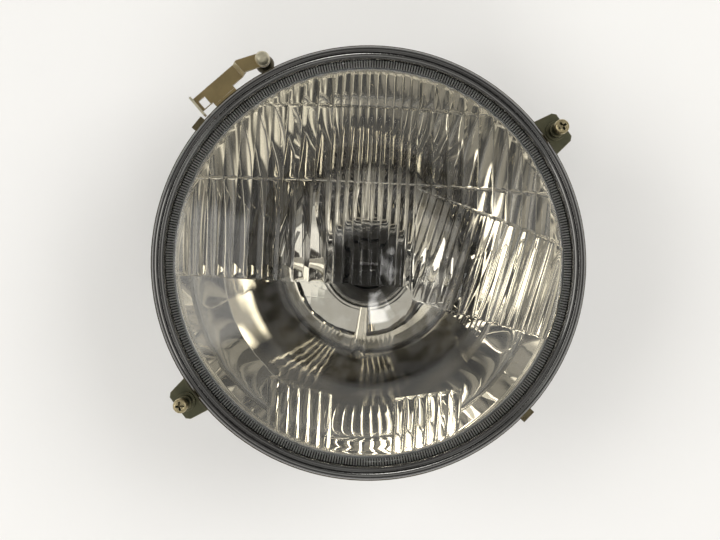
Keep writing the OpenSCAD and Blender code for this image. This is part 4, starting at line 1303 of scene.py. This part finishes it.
@dataclass
class ScrewMount:
    """One adjusting screw with its lug, bush, ring and nut. Sizes in millimetres."""

    side: str
    x: float
    y: float
    thread_r: float = 2.0
    root_r: float = 1.68
    pitch: float = 0.7
    low_z: float = 43.83
    high_z: float = 70.0
    head_z: float = 87.83
    top_z: float = 91.03
    slot_turn: float = 35.0
    thread_sides: int = 20

    def build_thread(self) -> Piece:
        """Builds the screw's shank with its thread.

        Returns:
            The new piece.
        """
        levels = np.arange(self.low_z + 0.6, self.high_z, self.pitch / 4.0)
        section = [(0.0, self.low_z), (1.3, self.low_z), (self.root_r, self.low_z + 0.5)]
        section += [(self.thread_r, float(z)) for z in levels]
        shank_top = self.head_z + 0.5
        section += [(self.thread_r, self.high_z + 0.4), (self.thread_r, shank_top), (0.0, shank_top)]
        piece = Bench.spun(f"{self.side}_screw_thread", section, self.thread_sides)
        for corner in piece.data.vertices:
            x, y, z = (c / MM for c in corner.co)
            radius = math.hypot(x, y)
            if self.low_z + 0.55 < z < self.high_z + 0.1 and radius > 1.5:
                phase = (z / self.pitch - math.atan2(y, x) / math.tau) % 1.0
                fade = min(1.0, (self.high_z - z) / 1.5)
                cut = (self.thread_r - self.root_r) * abs(2.0 * phase - 1.0) * max(fade, 0.0)
                corner.co = ((radius - cut) * x / radius * MM, (radius - cut) * y / radius * MM, z * MM)
        Bench.move(piece, self.x, self.y)
        Bench.smooth(piece, 60.0)
        return piece

    def build_cutter(self, turn: float) -> Piece:
        """Builds the tapered bar that cuts one slot of the cross recess.

        Args:
            turn: direction of the slot in degrees.

        Returns:
            The new piece.
        """
        points = []
        for level, reach, half in ((self.top_z + 0.5, 2.1, 0.5), (self.top_z - 2.0, 0.8, 0.34)):
            for along, across in ((-reach, -half), (reach, -half), (reach, half), (-reach, half)):
                c, s = math.cos(math.radians(turn)), math.sin(math.radians(turn))
                points.append((self.x + along * c - across * s, self.y + along * s + across * c, level))
        faces = [(0, 1, 2, 3), (7, 6, 5, 4), (0, 4, 5, 1), (1, 5, 6, 2), (2, 6, 7, 3), (3, 7, 4, 0)]
        return Bench.from_arrays("recess_cutter", points, faces)

    def in_recess(self, face: bpy.types.MeshPolygon) -> bool:
        """Tells whether a face of the head is a wall of its cross recess.

        Args:
            face: a face of the head.

        Returns:
            True for a wall of the recess, which gets the darker finish as painted shade.
        """
        x, y, z = (c / MM for c in face.center)
        steep = abs(face.normal.z) < 0.96 and math.hypot(x - self.x, y - self.y) < 2.3
        return steep and self.head_z + 0.5 < z < self.top_z - 0.25

    def build_head(self) -> Piece:
        """Builds the pan head, cuts the cross recess into it and paints the recess walls darker as painted
        shade.

        Returns:
            The new piece.
        """
        top = self.top_z
        section = [(0.0, self.head_z), (2.9, self.head_z), (3.05, self.head_z + 0.15), (3.05, top - 1.5)]
        section += [(2.98, top - 1.0), (2.8, top - 0.6), (2.45, top - 0.28), (1.9, top - 0.08)]
        section += [(1.2, top), (0.0, top)]
        piece = Bench.spun(f"{self.side}_screw_head", section, 40)
        Bench.move(piece, self.x, self.y)
        for turn in (self.slot_turn, self.slot_turn + 90.0):
            cutter = self.build_cutter(turn)
            with Bench.editing(cutter):
                bpy.ops.mesh.normals_make_consistent(inside=False)
            Bench.choose(piece)
            cut = piece.modifiers.new("recess", "BOOLEAN")
            cut.operation, cut.object = "DIFFERENCE", cutter
            bpy.ops.object.modifier_apply(modifier="recess")
            bpy.data.objects.remove(cutter, do_unlink=True)
        # The recess walls get the darker olive zinc: painted shade inside the cross recess.
        Bench.paint(piece, Finish.SCREW_ZINC, Finish.OLIVE_ZINC, self.in_recess)
        Bench.smooth(piece, 32.0)
        return piece

    def build_screw(self) -> Piece:
        """Builds the screw: the head with its cross recess, and the threaded shank.

        Returns:
            The new piece.
        """
        node = f"{self.side}_screw"
        head = self.build_head()
        thread = self.build_thread()
        # The shank gets the darker olive zinc: painted shade in the gap under the head.
        thread.data.materials.append(Finish.OLIVE_ZINC.material())
        Bench.choose(head)
        thread.select_set(True)
        bpy.ops.object.join()
        head.name = head.data.name = f"{node}_dressed"
        return Bench.seat(head, Finish.SCREW_ZINC, node, "screw_zinc", node)

    def build(self) -> None:
        """Builds the screw and dresses what carries it."""
        side = self.side
        self.build_screw()
        for name, radius, finish, body, slot in (
            ("lug", 0.25, Finish.OLIVE_ZINC, "light_unit", "olive_zinc"),
            ("bush", 0.2, Finish.OLIVE_ZINC, "light_unit", "screw_zinc"),
            ("stop_ring", 0.12, Finish.PLAIN_ZINC, f"{side}_screw", "plain_zinc"),
            ("nut", 0.35, Finish.NYLON, f"{side}_nut", "white_nylon"),
        ):
            node = f"{side}_{name}"
            Bench.seat(Bench.rounded_copy(f"{node}_dressed", node, radius), finish, body, slot, node)


@dataclass
class PivotMount:
    """The pivot bracket with its stud and the rivets of the brackets. Sizes in millimetres."""

    x: float = -48.334
    y: float = 82.894
    tongue_z: float = 81.63
    head_r: float = 3.1
    ball_r: float = 4.0
    ball_z: float = 72.63
    bend_x: float = -57.8
    bend_y: float = 78.3
    bend_turn: float = -137.0
    bend_reach: float = 4.0
    flange_top_z: float = 84.03

    def gets_painted_highlight(self, face: bpy.types.MeshPolygon) -> bool:
        """Tells whether a face of the strip lies on its bend or on the end flange's top.

        Args:
            face: a face of the strip.

        Returns:
            True for a face that gets the paler finish as a painted highlight.
        """
        x, y, z = (c / MM for c in face.center)
        turn = math.radians(self.bend_turn)
        outward = face.normal.x * math.cos(turn) + face.normal.y * math.sin(turn)
        sloping = outward > 0.3 and face.normal.z > 0.3
        bent = sloping and math.hypot(x - self.bend_x, y - self.bend_y) < self.bend_reach
        return bent or z > self.flange_top_z - 0.25

    def build_strip(self) -> Piece:
        """Dresses the strip, whose bend and end flange top get a paler finish as a painted highlight.

        Returns:
            The new piece.
        """
        piece = Bench.rounded_copy("pivot_strip", "pivot_bracket", 0.2)
        # The bend and the flange top get the paler stud zinc: a painted highlight where they catch the
        # light.
        Bench.paint(piece, Finish.YELLOW_ZINC, Finish.STUD_ZINC, self.gets_painted_highlight)
        return Bench.seat(piece, Finish.YELLOW_ZINC, "light_unit", "yellow_zinc", "pivot_bracket")

    def build_stud(self) -> Piece:
        """Builds the stud with its domed head and its ball.

        Returns:
            The new piece.
        """
        top = self.tongue_z + 1.0
        head_turns = np.linspace(math.radians(-22.0), math.radians(88.0), 16)
        ball_turns = np.linspace(math.radians(-88.0), math.radians(58.0), 22)
        section = [(0.0, self.ball_z - self.ball_r)]
        section += Bench.arc(0.0, self.ball_z, self.ball_r, ball_turns) + [(2.0, self.ball_z + 3.9)]
        section += [(radius, self.tongue_z - down) for radius, down in (
            (2.0, 1.6), (2.85, 1.5), (3.0, 1.35), (3.0, 0.1), (2.85, 0.0), (2.0, 0.0),
        )]
        section += [(2.0, top)] + Bench.arc(0.0, top + 1.2, self.head_r, head_turns)
        section += [(0.0, top + 1.2 + self.head_r)]
        piece = Bench.spun("pivot_ball_stud", section, 48)
        Bench.move(piece, self.x, self.y)
        # The part below the domed head gets the dark carrier zinc: painted shade under the tongue.
        Bench.paint(piece, Finish.STUD_ZINC, Finish.CARRIER_ZINC, lambda face: face.center.z / MM <= top)
        Bench.smooth(piece, 40.0)
        return Bench.seat(piece, Finish.STUD_ZINC, "light_unit", "plain_zinc", "pivot_stud")

    def build(self) -> None:
        """Builds the stud and dresses the strip and the rivets."""
        self.build_strip()
        self.build_stud()
        Bench.dress("light_unit", (
            ("strip_rivets", "bracket_rivets", 0.2, Finish.PLAIN_ZINC, "plain_zinc"),
            ("foot_rivets", "lug_rivets", 0.2, Finish.PLAIN_ZINC, "plain_zinc"),
        ))


@dataclass
class Bulb:
    """The bulb in its seat. Sizes in millimetres."""

    globe_r: float = 19.0
    globe_z: float = 48.0
    neck_r: float = 12.0
    foot_z: float = 16.0
    wall: float = 0.8
    main_z: float = 52.109
    dip_z: float = 55.109
    coil_r: float = 0.58
    coil_turns: float = 11.0
    wire_r: float = 0.12

    def build_globe(self) -> Piece:
        """Builds the blown glass.

        Returns:
            The new piece.
        """
        inner_r, inner_neck = self.globe_r - self.wall, self.neck_r - self.wall
        low = -math.acos(self.neck_r / self.globe_r)
        low_inner = -math.acos(inner_neck / inner_r)
        near_top = math.pi / 2 - 0.02
        outside = Bench.arc(0.0, self.globe_z, self.globe_r, np.linspace(low + 0.09, near_top, 40))
        inside = Bench.arc(0.0, self.globe_z, inner_r, np.linspace(near_top, low_inner + 0.09, 40))
        meet, foot = self.globe_z + self.globe_r * math.sin(low), self.foot_z + 0.1
        section = [(self.neck_r, foot), (self.neck_r, meet - 1.4), (self.neck_r + 0.16, meet + 0.1)]
        section += outside + [(0.0, self.globe_z + self.globe_r), (0.0, self.globe_z + inner_r)] + inside
        section += [(inner_neck + 0.16, meet + 0.3), (inner_neck, meet - 1.2), (inner_neck, foot)]
        piece = Bench.spun("bulb_glass", section, 96)
        Bench.smooth(piece, 60.0)
        return Bench.seat(piece, Finish.BULB_GLASS, "light_unit", "bulb_glass", "bulb_globe")

    def coil(self, name: str, start: Spot, end: Spot, node: str) -> Piece:
        """Builds a coiled filament between two points.

        Args:
            name: the piece's name.
            start: one end of the coil's axis.
            end: the other end.
            node: the CAD node that it replaces.

        Returns:
            The new piece.
        """
        first, last = np.array(start), np.array(end)
        along = (last - first) / np.linalg.norm(last - first)
        side = np.cross(along, (0.0, 1.0, 0.0))
        side /= np.linalg.norm(side)
        other = np.cross(along, side)
        steps = np.linspace(0.0, 1.0, 240)
        turn = steps * self.coil_turns * math.tau
        swell = self.coil_r * np.minimum(1.0, np.minimum(steps, 1.0 - steps) * 30.0)
        path = first + (last - first) * steps[:, None]
        path += swell[:, None] * (np.cos(turn)[:, None] * side + np.sin(turn)[:, None] * other)
        piece = Bench.tube(name, path, self.wire_r, 6)
        return Bench.seat(piece, Finish.TUNGSTEN, "light_unit", "filament_metal", node)

    def build(self) -> None:
        """Builds the glass and the filaments, and dresses the rest."""
        self.build_globe()
        self.coil("main_coil", (-3.0, 0.0, self.main_z), (3.0, 0.0, self.main_z), "main_filament")
        self.coil("dip_coil", (0.0, 0.0, self.dip_z + 0.1), (0.0, 0.0, self.dip_z + 5.55), "dip_filament")
        Bench.dress("light_unit", (
            ("seat_ring", "bulb_seat", 0.0, Finish.FLANGE, "seat_zinc"),
            ("earth_blade", "earth_tab", 0.12, Finish.BRASS, "contact_brass"),
            ("flange_plate", "bulb_flange", 0.12, Finish.FLANGE, "bulb_nickel"),
            ("cap_shell", "bulb_cap", 0.2, Finish.FLANGE, "bulb_nickel"),
            ("cap_insulator", "bulb_insulator", 0.2, Finish.INSULATOR, "black_moulding"),
            ("cap_pads", "bulb_contacts", 0.15, Finish.BRASS, "contact_brass"),
            ("glass_stem", "bulb_stem", 0.3, Finish.BULB_GLASS, "bulb_glass"),
            ("support_wires", "filament_leads", 0.0, Finish.BRIGHT_WIRE, "filament_metal"),
            ("beam_shield", "dip_shield", 0.0, Finish.BRIGHT_WIRE, "filament_metal"),
        ))


@dataclass
class BulbHolder:
    """The moulded holder behind the bulb."""

    def build(self) -> None:
        """Dresses the holder, its spring contacts and its terminal screws."""
        Bench.dress("bulb_holder", (
            ("holder_shell", "holder_body", 0.3, Finish.HOLDER, "black_moulding"),
            ("leaf_contacts", "holder_contacts", 0.1, Finish.BRASS, "contact_brass"),
            ("terminal_screws", "holder_terminals", 0.15, Finish.BRASS, "contact_brass"),
        ))


@dataclass
class Studio:
    """The floor, the light and the camera. Sizes in metres."""

    floor_size: float = 8.0
    camera_x: float = -0.00338
    camera_y: float = -0.00307
    camera_z: float = 0.466
    lens: float = 45.9
    roll: float = 2.8
    warmth: Colour = (1.0, 0.985, 0.94)
    backdrop: Colour = (0.9, 0.9, 0.895)
    darkest: float = 0.015
    lamp_size: float = 0.9
    sensor: float = 36.0
    ceiling: Areas = (
        (-1.0, 4.0, 0.8, 0.05, 0.0, 180.0, 0.0),
        (4.8, 9.0, 0.6, 0.05, 0.0, 180.0, 0.0),
        (4.8, 9.0, 0.6, 2.4, 2.0, 30.0, 8.0),
        (9.6, 17.0, 0.4, 0.17, 0.0, 180.0, 0.0),
        (9.6, 18.0, 0.4, 4.2, -72.0, 12.0, 3.0),
        (9.6, 18.0, 0.4, 0.5, 130.0, 14.0, 4.0),
        (17.6, 28.0, 0.4, 0.42, 0.0, 180.0, 0.0),
        (17.6, 27.0, 0.4, 0.3, 0.0, 40.0, 8.0),
        (28.6, 36.4, 0.4, 0.2, 0.0, 180.0, 0.0),
    )
    walls: Areas = (
        (37.0, 61.0, 0.6, 0.5, 0.0, 180.0, 0.0),
        (38.0, 61.0, 0.6, 1.4, -173.0, 22.0, 5.0),
        (38.0, 61.0, 0.6, 0.5, 0.0, 30.0, 8.0),
        (38.0, 61.0, 0.6, 0.3, -90.0, 40.0, 8.0),
        (62.0, 90.0, 0.6, 0.2, 0.0, 180.0, 0.0),
    )

    def build_floor(self) -> None:
        """Lays the plain pale floor."""
        Bench.clear()
        bpy.ops.mesh.primitive_plane_add(size=self.floor_size, location=(0.0, 0.0, 0.0))
        floor = bpy.context.object
        floor.name = "floor"
        floor.data.materials.append(Finish.FLOOR.material())

    @staticmethod
    def sector(graph: Graph, flat: Socket, turn: float, half: float, soft: float) -> Socket:
        """Masks the directions round one bearing.

        Args:
            graph: the world's graph.
            flat: the level direction.
            turn: the bearing in degrees, from the right towards the top of the lens.
            half: half the sector's width in degrees.
            soft: width of its soft edge in degrees.

        Returns:
            The mask, 1 inside the sector.
        """
        way = (math.cos(math.radians(turn)), math.sin(math.radians(turn)), 0.0)
        close = graph.add("VectorMath", {0: flat, 1: way}, operation="DOT_PRODUCT").outputs["Value"]
        return graph.spread(close, math.cos(math.radians(half + soft)), math.cos(math.radians(half)))

    @staticmethod
    def band(graph: Graph, tilt: Socket, low: float, high: float, soft: float) -> Socket:
        """Masks the directions between two angles from the zenith, with soft ends.

        Args:
            graph: the world's graph.
            tilt: the direction's angle from the zenith in degrees.
            low: the smaller angle in degrees.
            high: the larger angle in degrees.
            soft: width of each soft end in degrees.

        Returns:
            The mask, 1 between the angles.
        """
        rise = graph.spread(tilt, low - soft, low)
        fall = graph.spread(tilt, high, high + soft, 1.0, 0.0)
        return graph.times(rise, fall)

    def lights(self, graph: Graph, tilt: Socket, flat: Socket, table: Areas) -> Socket:
        """Adds up the pale areas of one table.

        Args:
            graph: the world's graph.
            tilt: the direction's angle from the zenith in degrees.
            flat: the level direction.
            table: lowest and highest angle, soft edge, level, bearing, half width and its soft
                edge of each area.

        Returns:
            The summed level.
        """
        total = None
        for low, high, soft, level, turn, half, fade in table:
            part = graph.times(self.band(graph, tilt, low, high, soft), level)
            if half < 180.0:
                part = graph.times(part, self.sector(graph, flat, turn, half, fade))
            total = part if total is None else graph.plus(total, part)
        return total

    def build_world(self) -> None:
        """Builds the surround from the tables of pale areas. The camera itself sees one plain tone."""
        world = bpy.data.worlds.new("soft_surround")
        bpy.context.scene.world = world
        world.use_nodes = True
        graph = Graph(world.node_tree)
        background = world.node_tree.nodes["Background"]
        place = graph.add("TexCoord").outputs["Generated"]
        way = graph.add("SeparateXYZ", {0: place})
        tilt = graph.times(graph.math("ARCCOSINE", way.outputs["Z"]), 180.0 / math.pi)
        level_way = graph.add("CombineXYZ", {"X": way.outputs["X"], "Y": way.outputs["Y"]})
        flat = graph.add("VectorMath", {0: level_way.outputs[0]}, operation="NORMALIZE").outputs["Vector"]
        drifts = graph.spread(graph.noise(place, 14.0, 1.0), 0.40, 0.58, 0.2, 1.6)
        ceiling = graph.times(self.lights(graph, tilt, flat, self.ceiling), drifts)
        total = graph.plus(ceiling, self.lights(graph, tilt, flat, self.walls))
        total = graph.math("MAXIMUM", total, self.darkest)
        graded = graph.add("VectorMath", {0: self.warmth, "Scale": total}, operation="SCALE")
        direct = graph.add("LightPath").outputs["Is Camera Ray"]
        seen = graph.blend(direct, graded.outputs["Vector"], rgba(self.backdrop))
        graph.link(seen, background.inputs["Color"])

    def build_lamps(self) -> None:
        """Hangs three broad soft lamps, which mirrors don't show as squares."""
        for name, place, power in (
            ("soft_lamp_right", (1.0, 0.5, 1.3), 12.5),
            ("soft_lamp_left", (-1.1, 0.1, 1.2), 9.4),
            ("soft_lamp_front", (0.1, -1.2, 1.3), 8.0),
        ):
            light = bpy.data.lights.new(name, "AREA")
            light.size, light.energy = self.lamp_size, power
            lamp = bpy.data.objects.new(name, light)
            lamp.location = place
            lamp.rotation_euler = (-lamp.location).to_track_quat("-Z", "Y").to_euler()
            lamp.visible_camera = lamp.visible_glossy = lamp.visible_transmission = False
            bpy.context.scene.collection.objects.link(lamp)

    def build_camera(self) -> None:
        """Places the camera straight above the lens."""
        camera = bpy.data.objects.new("camera", bpy.data.cameras.new("camera"))
        camera.data.lens, camera.data.sensor_width = self.lens, self.sensor
        camera.data.clip_start = 0.01
        camera.location = (self.camera_x, self.camera_y, self.camera_z)
        camera.rotation_euler = (0.0, 0.0, math.radians(self.roll))
        bpy.context.scene.collection.objects.link(camera)
        bpy.context.scene.camera = camera

    def build(self) -> None:
        """Builds the whole studio."""
        self.build_camera()
        self.build_floor()
        self.build_world()
        self.build_lamps()
        bpy.context.scene.view_settings.view_transform = "Standard"


def main() -> None:
    """Builds every sub-assembly in order."""
    logging.basicConfig(level=logging.INFO, format="%(name)s: %(message)s")
    Studio().build()
    FlutedLens().build()
    RimAndBowl().build()
    ScrewMount("right", 76.437, 59.719).build()
    ScrewMount("left", -74.306, -62.350, slot_turn=8.0).build()
    PivotMount().build()
    Bulb().build()
    BulbHolder().build()


if __name__ == "__main__":
    main()
